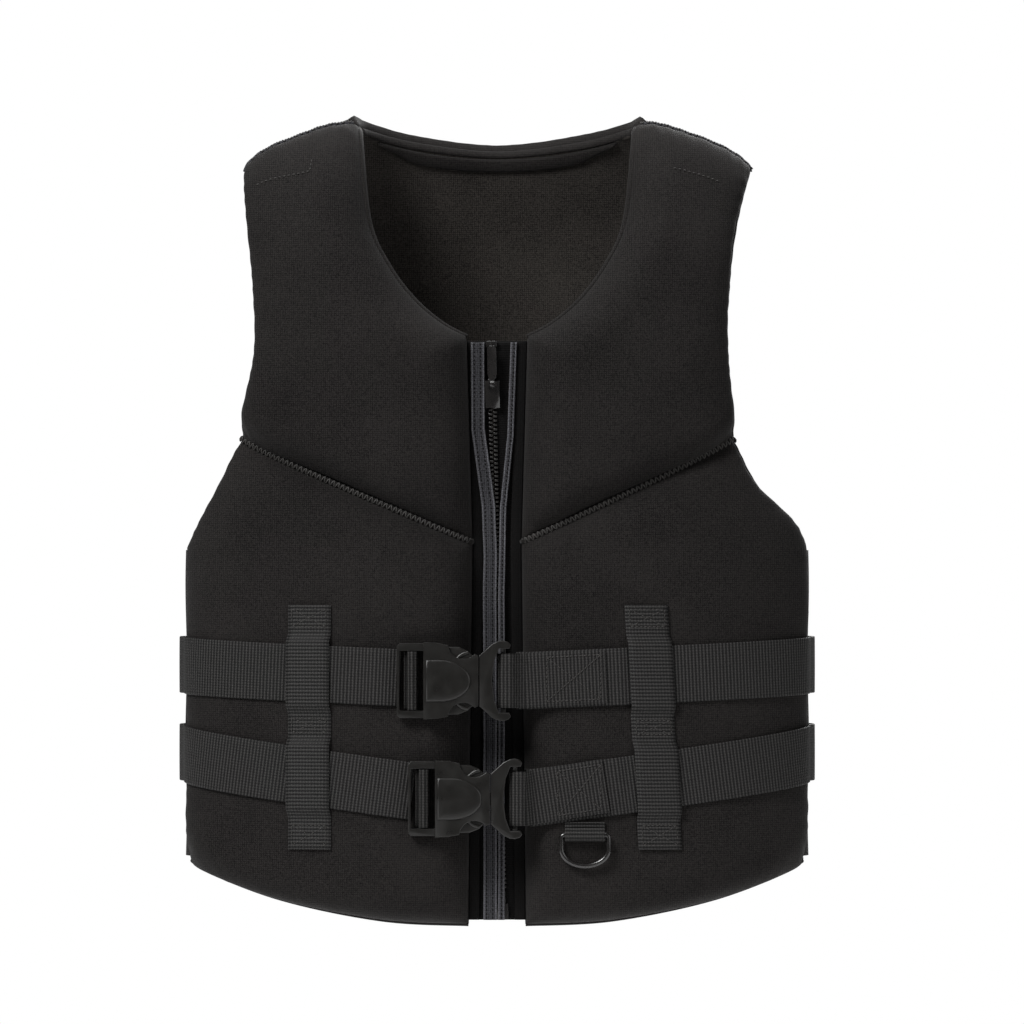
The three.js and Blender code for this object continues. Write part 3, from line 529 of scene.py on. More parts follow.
def tube_faces(rings: int, count: int, closed: bool = False) -> list[tuple[int, ...]]:
    """Lists the faces of a tube of equal rings, one after another, with its two end caps.

    Args:
        rings: how many rings there are.
        count: how many corners a ring has.
        closed: whether the last ring joins the first, which leaves no caps.

    Returns:
        The faces, as corner numbers.
    """
    faces: list[tuple[int, ...]] = [
        (
            j * count + i,
            j * count + (i + 1) % count,
            (j + 1) % rings * count + (i + 1) % count,
            (j + 1) % rings * count + i,
        )
        for j in range(rings if closed else rings - 1)
        for i in range(count)
    ]
    if not closed:
        faces += [tuple(range(count)), tuple(range((rings - 1) * count, rings * count))]
    return faces


def shell(outer: Points, inner: Points) -> tuple[Points, list[tuple[int, ...]]]:
    """Closes two matching grids of points into one solid skin.

    Args:
        outer: rows by columns by 3.
        inner: the same for the other face.

    Returns:
        The points and the faces.
    """
    rows, columns = outer.shape[:2]
    size = rows * columns
    faces = grid_faces(rows, columns) + grid_faces(rows, columns, size)
    rim = [i for i in range(columns)]
    rim += [j * columns + columns - 1 for j in range(1, rows)]
    rim += [(rows - 1) * columns + i for i in range(columns - 2, -1, -1)]
    rim += [j * columns for j in range(rows - 2, 0, -1)]
    for a, b in zip(rim, rim[1:] + rim[:1]):
        faces.append((a, b, b + size, a + size))
    return np.concatenate([outer.reshape(-1, 3), inner.reshape(-1, 3)]), faces


def unit(vectors: Points) -> Points:
    """Scales each vector to length one."""
    return vectors / np.maximum(np.linalg.norm(vectors, axis=-1, keepdims=True), 1e-12)


def tangents(path: Points, closed: bool = False) -> Points:
    """Finds the direction of a path at each of its points."""
    if closed:
        return unit(np.roll(path, -1, axis=0) - np.roll(path, 1, axis=0))
    return unit(np.gradient(path, axis=0))


def lengths(path: Points) -> Points:
    """Measures the way along a path to each of its points."""
    steps = np.linalg.norm(np.diff(path, axis=0), axis=1)
    return np.concatenate([[0.0], np.cumsum(steps)])


def read_off(spots: Points, along: Points, values: Points) -> Points:
    """Reads each column of values, known at places along a path, at other places on it."""
    return np.stack([np.interp(spots, along, column) for column in values.T], -1)


def resample(path: Points, shares: Points) -> Points:
    """Finds the points at the given shares of a path's length."""
    along = lengths(path)
    return read_off(shares * along[-1], along, path)


def even(path: Points, step: float) -> Points:
    """Spaces a path's points evenly, about a step apart."""
    count = max(2, int(round(lengths(path)[-1] / step)))
    return resample(path, np.linspace(0, 1, count + 1))


def spline(points: Sequence[Sequence[float]], steps: int = 24) -> Points:
    """Draws a smooth curve through points.

    Args:
        points: the places it passes through.
        steps: how many pieces each span is cut into.

    Returns:
        The curve's points.
    """
    at = np.asarray(points, float)
    found = []
    for k in range(len(at) - 1):
        before, here, after, beyond = (
            at[max(0, k - 1)],
            at[k],
            at[k + 1],
            at[min(len(at) - 1, k + 2)],
        )
        t = np.linspace(0, 1, steps, endpoint=False)[:, None]
        v0, v1 = (after - before) / 2, (beyond - here) / 2
        found.append(
            (2 * here - 2 * after + v0 + v1) * t**3
            + (-3 * here + 3 * after - 2 * v0 - v1) * t**2
            + v0 * t
            + here
        )
    return np.concatenate([*found, at[-1:]])


def strap_profile(width: float, thickness: float, steps: int = 10) -> Points:
    """Draws a flat strap's cross-section with rounded edges, as across and outward places."""
    half, thick = width / 2, thickness / 2
    flat = np.linspace(-half + thick, half - thick, steps)
    crown = thick * (1 + 0.12 * (1 - (flat / half) ** 2))
    turn = np.radians([60, 20, -20, -60])
    right = np.stack([half - thick + thick * np.cos(turn), thick + thick * np.sin(turn)], -1)
    left = np.stack([-right[::-1, 0], right[::-1, 1]], -1)
    top = np.stack([flat, thick + crown], -1)
    low = np.stack([flat[::-1], np.zeros(steps)], -1)
    return np.concatenate([top, right, low, left])


def oval(wide: float, high: float, steps: int = 12) -> Points:
    """Draws an oval cross-section about its middle, by its two half sizes."""
    turn = np.linspace(0, 2 * math.pi, steps, endpoint=False)
    return np.stack([wide * np.cos(turn), high * np.sin(turn)], -1)


def sweep(
    heap: Heap, path: Points, out: Points, profile: Points, closed: bool = False
) -> None:
    """Carries a cross-section along a path.

    Args:
        heap: what the form is added to.
        path: its points, in metres.
        out: the outward direction at each point.
        profile: the cross-section in millimetres, as across and outward places.
        closed: whether the path joins its own start.
    """
    across = unit(np.cross(tangents(path, closed), out))
    out = unit(np.cross(across, tangents(path, closed)))
    shape = profile * MM
    rings = (
        path[:, None]
        + across[:, None] * shape[None, :, :1]
        + out[:, None] * shape[None, :, 1:]
    )
    rows, columns = rings.shape[:2]
    uv = np.stack([np.repeat(lengths(path), columns), np.tile(shape[:, 0], rows)], -1)
    heap.add(rings, tube_faces(rows, columns, closed), uv)


@dataclass(frozen=True)
class Stitch:
    """A row of thread stitches: their pitch, length, thickness and how they sit."""

    pitch: float = 3.0
    length: float = 2.3
    radius: float = 0.32
    sunk: float = 0.05

    def sew(self, heap: Heap, path: Points, out: Points) -> None:
        """Lays stitches along a path.

        Args:
            heap: what the stitches are added to.
            path: the line's points, in metres.
            out: the outward direction at each point.
        """
        along = lengths(path)
        count = max(1, int(along[-1] / (self.pitch * MM)))
        spots = (np.arange(count) + 0.5) / count * along[-1]
        middle = read_off(spots, along, path)
        normal = unit(read_off(spots, along, out))
        ahead = unit(read_off(spots, along, tangents(path)))
        beside = unit(np.cross(ahead, normal))
        stations = np.array([[-0.5, 0.35, -0.7], [-0.28, 0.95, 0.0], [0.0, 1.0, 0.15],
                             [0.28, 0.95, 0.0], [0.5, 0.35, -0.7]])
        turn = np.linspace(0, 2 * math.pi, 6, endpoint=False)
        rows = []
        for way_share, thick, lift in stations:
            centre = (
                middle
                + ahead * (way_share * self.length * MM)
                + normal * ((self.radius * (lift + 0.5) - self.sunk) * MM)
            )
            for angle in turn:
                rows.append(
                    centre
                    + (beside * math.cos(angle) + normal * math.sin(angle))
                    * (thick * self.radius * MM)
                )
        faces = tube_faces(len(stations), len(turn))
        for form in np.stack(rows, 1):
            heap.add(form, faces)


def crossed_box(left: float, right: float, first: float, second: float) -> list[Points]:
    """Draws a sewn box's four sides from its first edge round, and then its two diagonals."""
    a, b, c, d = (left, first), (right, first), (right, second), (left, second)
    lines = [(a, b), (b, c), (c, d), (d, a), (a, c), (b, d)]
    return [np.array(line, float) for line in lines]


def forward(count: int) -> Points:
    """Points straight out of the front of the vest, once for each of count places."""
    return np.tile([0.0, -1.0, 0.0], (count, 1))


def rounded_copy(
    node: str, name: str, width: float, material: bpy.types.Material
) -> bpy.types.Object:
    """Copies a moulded part from the frame and rounds its edges as a mould does.

    Args:
        node: the CAD node to copy.
        name: the piece's name.
        width: how wide the rounding is, in millimetres.
        material: its finish.

    Returns:
        The new object.
    """
    mesh = bpy.data.objects[node].data.copy()
    build = bmesh.new()
    build.from_mesh(mesh)
    bmesh.ops.remove_doubles(build, verts=build.verts, dist=1e-6)
    bmesh.ops.dissolve_limit(
        build, angle_limit=math.radians(0.5), verts=build.verts, edges=build.edges
    )
    bmesh.ops.recalc_face_normals(build, faces=build.faces)
    build.to_mesh(mesh)
    build.free()
    mesh.materials.clear()
    mesh.materials.append(material)
    piece = bpy.data.objects.new(name, mesh)
    bpy.context.scene.collection.objects.link(piece)
    bevel = piece.modifiers.new("mould_radius", "BEVEL")
    bevel.width = width * MM
    bevel.segments = 3
    bevel.limit_method = "ANGLE"
    bevel.angle_limit = math.radians(24)
    bevel.harden_normals = True
    mesh.shade_smooth()
    return piece


# ---- The body's form ----


@dataclass(frozen=True)
class BodyForm:
    """The plan and the shoulders that every flat pattern piece is laid on."""

    half_width: float = 218.0
    half_depth: float = 64.0
    roundness: float = 0.8
    shoulder_in: tuple[float, float] = (97.0, 562.0)
    shoulder_out: tuple[float, float] = (176.0, 528.0)
    bend_start: float = 440.0
    rest: float = 540.0
    gap: float = 0.4

    def ridge(self, across: Points) -> Points:
        """Finds the shoulder's height at a distance from the middle."""
        (in_x, in_z), (out_x, out_z) = self.shoulder_in, self.shoulder_out
        return in_z + (in_x - across) * (in_z - out_z) / (out_x - in_x)

    def angle(self, across: Points) -> Points:
        """Finds the angle round the plan at a distance from the middle."""
        share = np.clip(np.asarray(across, float) / self.half_width, 0, 1)
        return np.arcsin(share ** (1 / self.roundness))

    def ring(self, angle: Points, offset: Points) -> tuple[Points, Points]:
        """Finds the plan's place at an angle, outside the lining by an offset."""
        sine, cosine = np.sin(angle), np.cos(angle)
        return (
            (self.half_width + offset) * np.sign(sine) * np.abs(sine) ** self.roundness,
            (self.half_depth + offset) * np.sign(cosine) * np.abs(cosine) ** self.roundness,
        )

    def lay(self, x: Points, z: Points, offset: Points, facing: Facing) -> Points:
        """Carries points seen from the front onto the body.

        Args:
            x: their places across.
            z: their heights above the hem.
            offset: how far outside the lining's face they lie.
            facing: front or back.

        Returns:
            Their places in the frame, in metres.
        """
        x, z, offset = np.broadcast_arrays(
            np.asarray(x, float), np.asarray(z, float), np.asarray(offset, float)
        )
        across = np.abs(x)
        wide, deep = self.ring(self.angle(across), offset)
        rise = self.ridge(across) - self.bend_start
        bend = np.arcsin(np.clip((z - self.bend_start) / rise, 0, 1))
        raised = self.bend_start + (rise + offset) * np.sin(bend)
        height = np.where(z > self.bend_start, raised, z)
        depth = facing.value * (self.gap / 2 + deep * np.cos(bend))
        return np.stack([np.sign(x) * wide, depth, height - self.rest], -1) * MM

    def normals(self, x: Points, z: Points, offset: Points, facing: Facing) -> Points:
        """Finds the outward direction at points laid on the body."""
        return unit(
            self.lay(x, z, np.asarray(offset) + 1.0, facing) - self.lay(x, z, offset, facing)
        )


FORM = BodyForm()


# ---- Padded panels ----


@dataclass(frozen=True)
class Edge:
    """One edge of a padded panel, and how the foam rolls down to it."""

    line: Points
    radius: float
    floor: float = 0.0
    pull: float = 0.0
    pull_reach: float = 13.0


@dataclass
class Pad:
    """A foam block sewn between cover and lining, cut to four edges."""

    name: str
    sides: dict[str, Edge]
    side: float
    facing: Facing
    columns: int = 100
    rows: int = 110
    foam: float = 26.0
    cover: float = 3.0
    thinning: float = 0.55
    neck_z: float = 415.0
    fill: float = 0.8
    # The cloth's free crown, and the waves of its swelling and of the puckers at its seams.
    crown: float = 1.5
    swell: float = 0.22
    swell_waves: int = 9
    swell_lengths: tuple[float, float] = (38.0, 120.0)
    pucker: float = 0.42
    pucker_length: float = 11.5
    pucker_reach: float = 8.0
    pucker_start: float = 1.6

    def loft(self, x: Points, z: Points) -> Points:
        """Measures the foam's thickness at places seen from the front."""
        strap = np.maximum(0, z - self.neck_z) / (FORM.shoulder_in[1] - self.neck_z)
        found = self.foam * (1 - self.thinning * strap)
        for edge in self.sides.values():
            short = 1 - np.minimum(1, self.distance(edge.line, x, z) / edge.radius)
            found = found * (edge.floor + (1 - edge.floor) * np.sqrt(1 - short**2))
        return found

    def distance(self, line: Points, x: Points, z: Points) -> Points:
        """Measures how far places lie from an edge's line."""
        spots = np.stack([np.ravel(x), np.ravel(z)], -1)
        ends = resample(line, np.linspace(0, 1, 41))
        start, way = ends[:-1], np.diff(ends, axis=0)
        share = ((spots[:, None] - start) * way).sum(-1) / (way**2).sum(-1)
        nearest = start + np.clip(share, 0, 1)[..., None] * way
        found = np.linalg.norm(spots[:, None] - nearest, axis=-1).min(1)
        return found.reshape(np.shape(x))

    def top(self, x: Points, z: Points) -> Points:
        """Measures how far the cover's outer face stands off the lining."""
        return FORM.gap / 2 + self.loft(np.asarray(x, float), np.asarray(z, float)) + self.cover

    def pattern(self, columns: int, rows: int) -> tuple[Points, Points]:
        """Fills the four edges with a grid that draws together where the pad rolls over.

        Args:
            columns: how many squares across.
            rows: how many squares up.

        Returns:
            The grid's places across and its heights.
        """

        def crowd(count: int) -> Points:
            """Spaces steps closer at both ends."""
            share = np.linspace(0, 1, count + 1)
            return share - 0.75 * np.sin(2 * np.pi * share) / (2 * np.pi)

        out, up = crowd(columns), crowd(rows)
        low, high = (resample(self.sides[k].line, out)[None] for k in ("bottom", "top"))
        near, far = (resample(self.sides[k].line, up)[:, None] for k in ("inner", "outer"))
        o, u = out[None, :, None], up[:, None, None]
        grid = near * (1 - o) + far * o + low * (1 - u) + high * u
        grid = grid - (low[:, :1] * (1 - o) + low[:, -1:] * o) * (1 - u)
        grid = grid - (high[:, :1] * (1 - o) + high[:, -1:] * o) * u
        return grid[..., 0], grid[..., 1]

    def puffed(self, x: Points, z: Points, straps: Callable[[Points, Points], Points]) -> Points:
        """Measures how far the sewn cloth swells and puckers beyond the plain pad."""
        loft = self.loft(x, z) / self.foam
        seed = sum(map(ord, self.name))
        dice = np.random.default_rng(seed)
        swell = np.zeros_like(x)
        for _ in range(self.swell_waves):
            length = dice.uniform(*self.swell_lengths)
            turn, phase = dice.uniform(0, 2 * np.pi, 2)
            swell += np.sin(2 * np.pi * (x * np.cos(turn) + z * np.sin(turn)) / length + phase)
        swell *= self.swell
        free = straps(x, z)
        puckers = np.zeros_like(x)
        for key, edge in self.sides.items():
            gap = self.distance(edge.line, x, z)
            along = z if key in ("inner", "outer") else x
            sway = 1.7 * np.sin(along / 9.0) + seed
            wave = np.sin(2 * np.pi * along / self.pucker_length + sway)
            fade = np.exp(-gap / self.pucker_reach) * (1 - np.exp(-gap / self.pucker_start))
            puckers += self.pucker * wave * fade
        raised = self.crown * free + (0.35 + 0.65 * free) * swell
        return raised * np.clip(loft * 1.4, 0, 1) + puckers - self.valley(x, z)

    def surface(self, x: Points, z: Points) -> Points:
        """Measures how far the swollen cover stands off the lining, away from straps."""
        x, z = np.asarray(x, float), np.asarray(z, float)
        return self.top(x, z) + self.puffed(x, z, lambda across, up: np.ones_like(across))

    def valley(self, x: Points, z: Points) -> Points:
        """Measures how far the sewing pulls the pad in beside its chest seam."""
        found = np.zeros_like(x)
        room = np.clip(2 * self.loft(x, z) / self.foam, 0, 1)
        for edge in self.sides.values():
            if edge.pull:
                gap = self.distance(edge.line, x, z)
                pull = edge.pull * room * np.exp(-((gap / edge.pull_reach) ** 2))
                found = np.maximum(found, pull)
        return found

    def make(
        self, material: bpy.types.Material, straps: Callable[[Points, Points], Points]
    ) -> bpy.types.Object:
        """Builds the pad with its cover, in place of the CAD cover and foam.

        Args:
            material: the cover's finish.
            straps: how free of straps a place is, from 0 under one to 1.

        Returns:
            The piece.
        """
        x, z = self.pattern(self.columns, self.rows)
        x = x * self.side
        spot = np.abs(x) if self.facing is Facing.FRONT else x
        bulge = self.puffed(spot, z, straps)
        outer = FORM.lay(x, z, self.top(spot, z) + bulge, self.facing)
        inner = FORM.lay(x, z, np.full_like(x, FORM.gap / 2), self.facing)
        heap = Heap()
        heap.add(*shell(outer, inner))
        piece = heap.make(f"{self.name}_pad", material)
        nodes = (f"{self.name}_cover", f"{self.name}_foam")
        place_piece(piece, "vest", nodes)
        return piece


@dataclass(frozen=True)
class Pattern:
    """The flat outlines of the six pads."""

    front_edge: float = 17.0
    hem_edge: float = 20.0
    neck_edge: float = 21.0
    neck_z: float = 415.0
    neck_back_z: float = 547.0
    seam_in_z: float = 271.0
    seam_out_z: float = 344.0
    back_seam_z: float = 292.0
    side_x: float = 213.0
    hem_front_z: float = 3.0
    hem_back_z: float = 14.0
    hem_side_z: float = 48.0
    underarm_z: float = 266.0
    roll: float = 26.0
    side_taper: float = 105.0
    arm_taper: float = 40.0
    seam_roll: float = 24.0
    ridge_roll: float = 24.0
    arm_heights: tuple[float, float, float] = (400.0, 445.0, 490.0)

    def neck(self) -> Points:
        """Draws a front half's neckline."""
        z = self.neck_z
        return spline(
            [(self.neck_edge, z), (38, z + 9), (58, z + 26), (76, z + 50), (90, z + 82),
             FORM.shoulder_in]
        )

    def seam(self, out_x: float, lift: float = 0.0) -> Points:
        """Draws a front half's chest seam."""
        ends = [(self.front_edge, self.seam_in_z + lift), (out_x, self.seam_out_z + lift)]
        return np.array(ends, float)

    def armhole(self, seam_x: float, xs: Sequence[float]) -> Points:
        """Draws an armhole from its seam up to the shoulder."""
        points = [(seam_x, self.seam_out_z), *zip(xs, self.arm_heights), FORM.shoulder_out]
        return spline(points)

    def underarm(self, seam_x: float, inset: float) -> Points:
        """Draws a waist panel's outer edge."""
        side = self.side_x
        curve = spline(
            [(side, self.underarm_z), (side - inset, self.underarm_z + 20),
             (seam_x + 13, self.seam_out_z - 29), (seam_x, self.seam_out_z - FORM.gap / 2)]
        )
        return np.concatenate([[(side, self.hem_side_z)], curve])

    def front_hem(self) -> Points:
        """Draws a front half's hem."""
        side, low = self.side_x, self.hem_side_z
        return spline(
            [(self.hem_edge, self.hem_front_z), (80, 6), (150, 20), (side - 8, low - 8),
             (side, low)]
        )

    def front(self, name: str, side: Side, seam_x: float, arm_x: float) -> tuple[Pad, Pad]:
        """Cuts the waist and chest pads of one front half.

        Args:
            name: the half's name.
            side: the wearer's side.
            seam_x: where the chest seam meets the armhole.
            arm_x: the armhole's narrowest place.

        Returns:
            The waist pad and the chest pad.
        """
        half = FORM.gap / 2
        inner = np.array(
            [(self.hem_edge, self.hem_front_z), (self.front_edge, self.seam_in_z - half)]
        )
        waist = {
            "bottom": Edge(self.front_hem(), self.roll),
            "top": Edge(self.seam(seam_x, -half), self.seam_roll, 0.4, 3.5, 5.0),
            "inner": Edge(inner, self.roll),
            "outer": Edge(self.underarm(seam_x, 9), self.side_taper),
        }
        rise = [(self.front_edge, self.seam_in_z + half)]
        ridge = np.array([FORM.shoulder_in, FORM.shoulder_out])
        chest = {
            "bottom": Edge(self.seam(seam_x, half), self.seam_roll, 0.4, 5.5, 12.0),
            "top": Edge(ridge, self.ridge_roll, 0.5),
            "inner": Edge(np.concatenate([rise, self.neck()]), self.roll),
            "outer": Edge(self.armhole(seam_x, (arm_x, arm_x + 1, arm_x + 7)), self.arm_taper),
        }
        return (
            Pad(f"{name}_waist", waist, side.value, Facing.FRONT),
            Pad(f"{name}_chest", chest, side.value, Facing.FRONT),
        )

    def back_seam(self, lift: float = 0.0) -> Points:
        """Draws the seam across the back."""
        end, z = 166.0, self.back_seam_z + lift
        high = self.seam_out_z + lift
        return spline([(-end, high), (-80, z + 14), (0, z), (80, z + 14), (end, high)])

    def back_neck(self) -> Points:
        """Draws the neckline behind."""
        (x, z), low = FORM.shoulder_in, self.neck_back_z
        return spline([(-x, z), (-60, low + 6), (0, low), (60, low + 6), (x, z)])

    def back_hem(self) -> Points:
        """Draws the hem behind."""
        side, low = self.side_x, self.hem_side_z
        return spline([(-side, low), (-150, 26), (0, self.hem_back_z), (150, 26), (side, low)])

    def back(self) -> tuple[Pad, Pad]:
        """Cuts the waist and chest pads of the back."""
        half = FORM.gap / 2
        flip = np.array([-1.0, 1.0])
        side, arm = self.underarm(166, 11), self.armhole(166, (158, 160, 166))
        waist = {
            "bottom": Edge(self.back_hem(), self.roll),
            "top": Edge(self.back_seam(-half), self.seam_roll, 0.4, 3.5, 5.0),
            "inner": Edge(side * flip, self.side_taper),
            "outer": Edge(side, self.side_taper),
        }
        outer = np.array(FORM.shoulder_out)
        top = np.concatenate([[outer * flip], self.back_neck(), [outer]])
        chest = {
            "bottom": Edge(self.back_seam(half), self.seam_roll, 0.4, 5.5, 12.0),
            "top": Edge(top, self.ridge_roll, 0.5),
            "inner": Edge(arm * flip, self.arm_taper),
            "outer": Edge(arm, self.arm_taper),
        }
        return (
            Pad("back_waist", waist, 1, Facing.BACK, columns=190),
            Pad("back_chest", chest, 1, Facing.BACK, columns=190),
        )


# ---- Belts, keepers and their sewing ----


@dataclass(frozen=True)
class BeltLine:
    """Where one belt runs: its buckle's middle and its height at the sides."""

    name: str
    buckle_x: float
    buckle_z: float
    side_z: float
    rise_x: float = 20.0
    side_x: float = 213.0

    def height(self, x: Points) -> Points:
        """Finds the belt's middle height at a place across the front."""
        share = np.clip((np.abs(x) - self.rise_x) / (self.side_x - self.rise_x), 0, 1)
        return self.buckle_z + (self.side_z - self.buckle_z) * share


@dataclass(frozen=True)
class KeeperLine:
    """Where one keeper strap runs up the vest, as it is seen on the full pads."""

    name: str
    low_seen: float
    high_seen: float
    facing: Facing
    low_z: float = 56.0
    high_z: float = 227.0
    width_seen: float = 30.0
    # A full pad carries whatever lies on it this much further out than the flat pattern.
    spread: float = 1 + 30.0 / FORM.half_width

    @property
    def low_x(self) -> float:
        """The flat place of the strap's lower end."""
        return self.low_seen / self.spread

    @property
    def width(self) -> float:
        """The strap's width on the flat pattern."""
        return self.width_seen / self.spread

    def middle(self, z: Points) -> Points:
        """Finds the strap's middle at a height."""
        share = (z - self.low_z) / (self.high_z - self.low_z)
        return (self.low_seen + (self.high_seen - self.low_seen) * share) / self.spread


@dataclass(frozen=True)
class Harness:
    """The two belts and four keepers, and the sizes that they share."""

    belts: tuple[BeltLine, ...] = (
        BeltLine("upper", 0.0, 174.3, 184.0),
        BeltLine("lower", 8.0, 92.0, 122.0),
    )
    keepers: tuple[KeeperLine, ...] = (
        KeeperLine("right_front", -131.0, -131.0, Facing.FRONT),
        KeeperLine("left_front", 114.0, 104.0, Facing.FRONT),
        KeeperLine("right_back", -114.0, -114.0, Facing.BACK),
        KeeperLine("left_back", 114.0, 114.0, Facing.BACK),
    )
    width: float = 40.0
    webbing: float = 1.5
    lie: float = 0.8
    side_panel: float = 5.0
    taut_x: float = 88.0

    def belt_height(self, belt: BeltLine, x: Points, facing: Facing) -> Points:
        """Finds a belt's height in front or behind."""
        return belt.height(x) if facing is Facing.FRONT else np.full_like(x, belt.side_z)

    def freedom(self, facing: Facing, side: float) -> Callable[[Points, Points], Points]:
        """Makes the measure of how free of straps a pad's places are.

        Args:
            facing: front or back.
            side: the sign of X on a front half, or 0 on the back.

        Returns:
            A function of place across and height, 0 under a strap and 1 well away from it.
        """

        def clear(gap: Points) -> Points:
            """Rises smoothly from a strap's edge over the cloth's own stiffness."""
            share = np.clip((gap - 1.5) / 16.0, 0, 1)
            return share * share * (3 - 2 * share)

        def free(x: Points, z: Points) -> Points:
            """Multiplies the clearance from every strap."""
            found = np.ones_like(x)
            for belt in self.belts:
                middle = self.belt_height(belt, x, facing)
                found = found * clear(np.abs(z - middle) - self.width / 2)
            for keeper in self.keepers:
                if keeper.facing is not facing or side * keeper.low_x < 0:
                    continue
                middle = np.abs(keeper.middle(z)) if side else keeper.middle(z)
                beside = np.abs(x - middle) - keeper.width / 2
                beyond = np.maximum(keeper.low_z - z, z - keeper.high_z)
                found = found * clear(np.maximum(beside, beyond))
            return found

        return free


@dataclass
class Straps:
    """Builds the webbing: belts, sewn loops, adjuster turns, keepers and box stitching."""

    pads: dict[str, Pad]
    finishes: Finishes
    harness: Harness = Harness()
    taut_y: float = -92.81
    gap: float = 0.4
    lift: float = 0.4
    web_bar: tuple[float, float] = (2.8, 6.2)
    bar: tuple[float, float] = (-62.6, -58.0)
    frame_thick: float = 5.5
    bar_thick: float = 3.0
    loop_end: float = 76.0
    keeper_thick: float = 1.3
    thread_step: float = 2.0
    box_thread: float = 0.36
    keeper_thread: float = 0.34

    @property
    def belt_front(self) -> float:
        """The outer face of the taut belts."""
        return self.taut_y - self.harness.webbing

    @property
    def buckle_back(self) -> float:
        """The back face of both buckles."""
        return self.belt_front - self.lift

    def half_run(self, belt: BeltLine, pad: Pad, side: float, inner: float) -> Points:
        """Lays the belt's inner face over one padded half.

        Args:
            belt: the belt.
            pad: the waist pad under it.
            side: the sign of X.
            inner: where it starts, from the middle.

        Returns:
            Its points from there out to the side, in metres.
        """
        x = np.arange(inner, belt.side_x + 0.1, 2.5)
        z = self.harness.belt_height(belt, x, pad.facing)
        spot = x if pad.facing is Facing.FRONT else side * x
        lift = np.maximum(pad.top(spot, z), self.harness.side_panel) + self.harness.lie
        run = FORM.lay(side * x, z, lift, pad.facing)
        if pad.facing is Facing.FRONT:
            flat = np.abs(run[:, 0]) < self.harness.taut_x * MM
            run[flat, 1] = np.minimum(run[flat, 1], self.taut_y * MM)
        return run

    def side_run(self, belt: BeltLine, side: float) -> Points:
        """Lays the belt's inner face round one side, from front to back."""
        start = float(FORM.angle(belt.side_x))
        angle = np.linspace(start, math.pi - start, 14)[1:-1]
        x, y = FORM.ring(angle, np.full_like(angle, self.harness.side_panel + self.harness.lie))
        z = np.full_like(x, belt.side_z - FORM.rest)
        return np.stack([side * x, -y, z], -1) * MM

    def outward(self, run: Points) -> Points:
        """Finds the level direction away from the vest along a belt."""
        way = tangents(run)
        out = unit(np.stack([way[:, 1], -way[:, 0], np.zeros(len(run))], -1))
        away = np.stack([run[:, 0] * 0.1, run[:, 1], np.zeros(len(run))], -1)
        return out * np.where((out * away).sum(1) < 0, -1.0, 1.0)[:, None]

    def belt(self, belt: BeltLine) -> None:
        """Builds one belt, from behind the adjuster round the back to the sewn loop."""
        front = {side: self.pads[f"{side.name.lower()}_waist"] for side in Side}
        start = -(self.bar[0] + 3 + belt.buckle_x)
        right = self.half_run(belt, front[Side.RIGHT], -1, start)
        left = self.half_run(belt, front[Side.LEFT], 1, self.web_bar[1] + 6 + belt.buckle_x)
        back = [self.half_run(belt, self.pads["back_waist"], side, 4.0) for side in (-1, 1)]
        run = np.concatenate(
            [right, self.side_run(belt, -1), back[0][::-1], back[1],
             self.side_run(belt, 1)[::-1], left[::-1]]
        )
        path = self.smooth(even(run, 2 * MM), 3)
        heap = Heap()
        profile = strap_profile(self.harness.width, self.harness.webbing)
        sweep(heap, path, self.outward(path), profile)
        piece = heap.make(f"{belt.name}_belt_webbing", self.finishes.webbing)
        place_piece(piece, "vest", (f"{belt.name}_belt",))

    def smooth(self, path: Points, rounds: int) -> Points:
        """Evens out a path's small steps, as a taut strap does."""
        for _ in range(rounds):
            path[1:-1] = (path[:-2] + 2 * path[1:-1] + path[2:]) / 4
        return path

    def plan_strap(
        self, name: str, belt: BeltLine, run: Points, width: float, body: str, node: str,
        follow: bool,
    ) -> None:
        """Builds a short strap drawn in plan.

        Args:
            name: the piece's name.
            belt: the belt whose height it keeps.
            run: its middle line, as places across and in depth.
            width: its width.
            body: the body it rides on.
            node: the CAD node it replaces.
            follow: whether it climbs with the belt.
        """
        plan = self.smooth(even(spline(run, 6), 0.7), 1)
        level = belt.height(plan[:, 0]) if follow else np.full(len(plan), belt.buckle_z)
        path = np.stack([plan[:, 0], plan[:, 1], level - FORM.rest], -1) * MM
        flat = tangents(path)
        out = unit(np.stack([-flat[:, 1], flat[:, 0], np.zeros(len(path))], -1))
        profile = strap_profile(width, self.harness.webbing)
        profile[:, 1] -= self.harness.webbing / 2
        heap = Heap()
        sweep(heap, path, out, profile)
        piece = heap.make(name, self.finishes.webbing)
        place_piece(piece, body, (node,))

    def loop(self, belt: BeltLine) -> None:
        """Builds the turn round the bar of the buckle's male half, sewn down on the belt."""
        web = self.harness.webbing
        bar_x = sum(self.web_bar) / 2 + belt.buckle_x
        bar_y = self.buckle_back - 1.9 - web - self.bar_thick / 2
        turn = self.bar_thick / 2 + 1.1 + web / 2
        front = self.belt_front - self.gap - web / 2
        angles = np.radians(np.linspace(90, 270, 9))
        bend = np.stack([bar_x + turn * np.cos(angles), bar_y + turn * np.sin(angles)], -1)
        run = np.concatenate(
            [[(bar_x + 3.4, bar_y + turn)], bend,
             [(bar_x + 5, bar_y - turn), (bar_x + 15, front),
              (self.loop_end / 2 + bar_x / 2, front), (self.loop_end, front)]]
        )
        width = self.harness.width - 2
        name = f"{belt.name}_loop_webbing"
        self.plan_strap(name, belt, run, width, "vest", f"{belt.name}_belt_loop", True)
        face = front - web / 2 - 0.15
        corners = (bar_x + 30, self.loop_end - 3.5, width / 2 - 3.5)
        self.box_stitch(f"{belt.name}_loop_stitching", belt.height, corners, face)

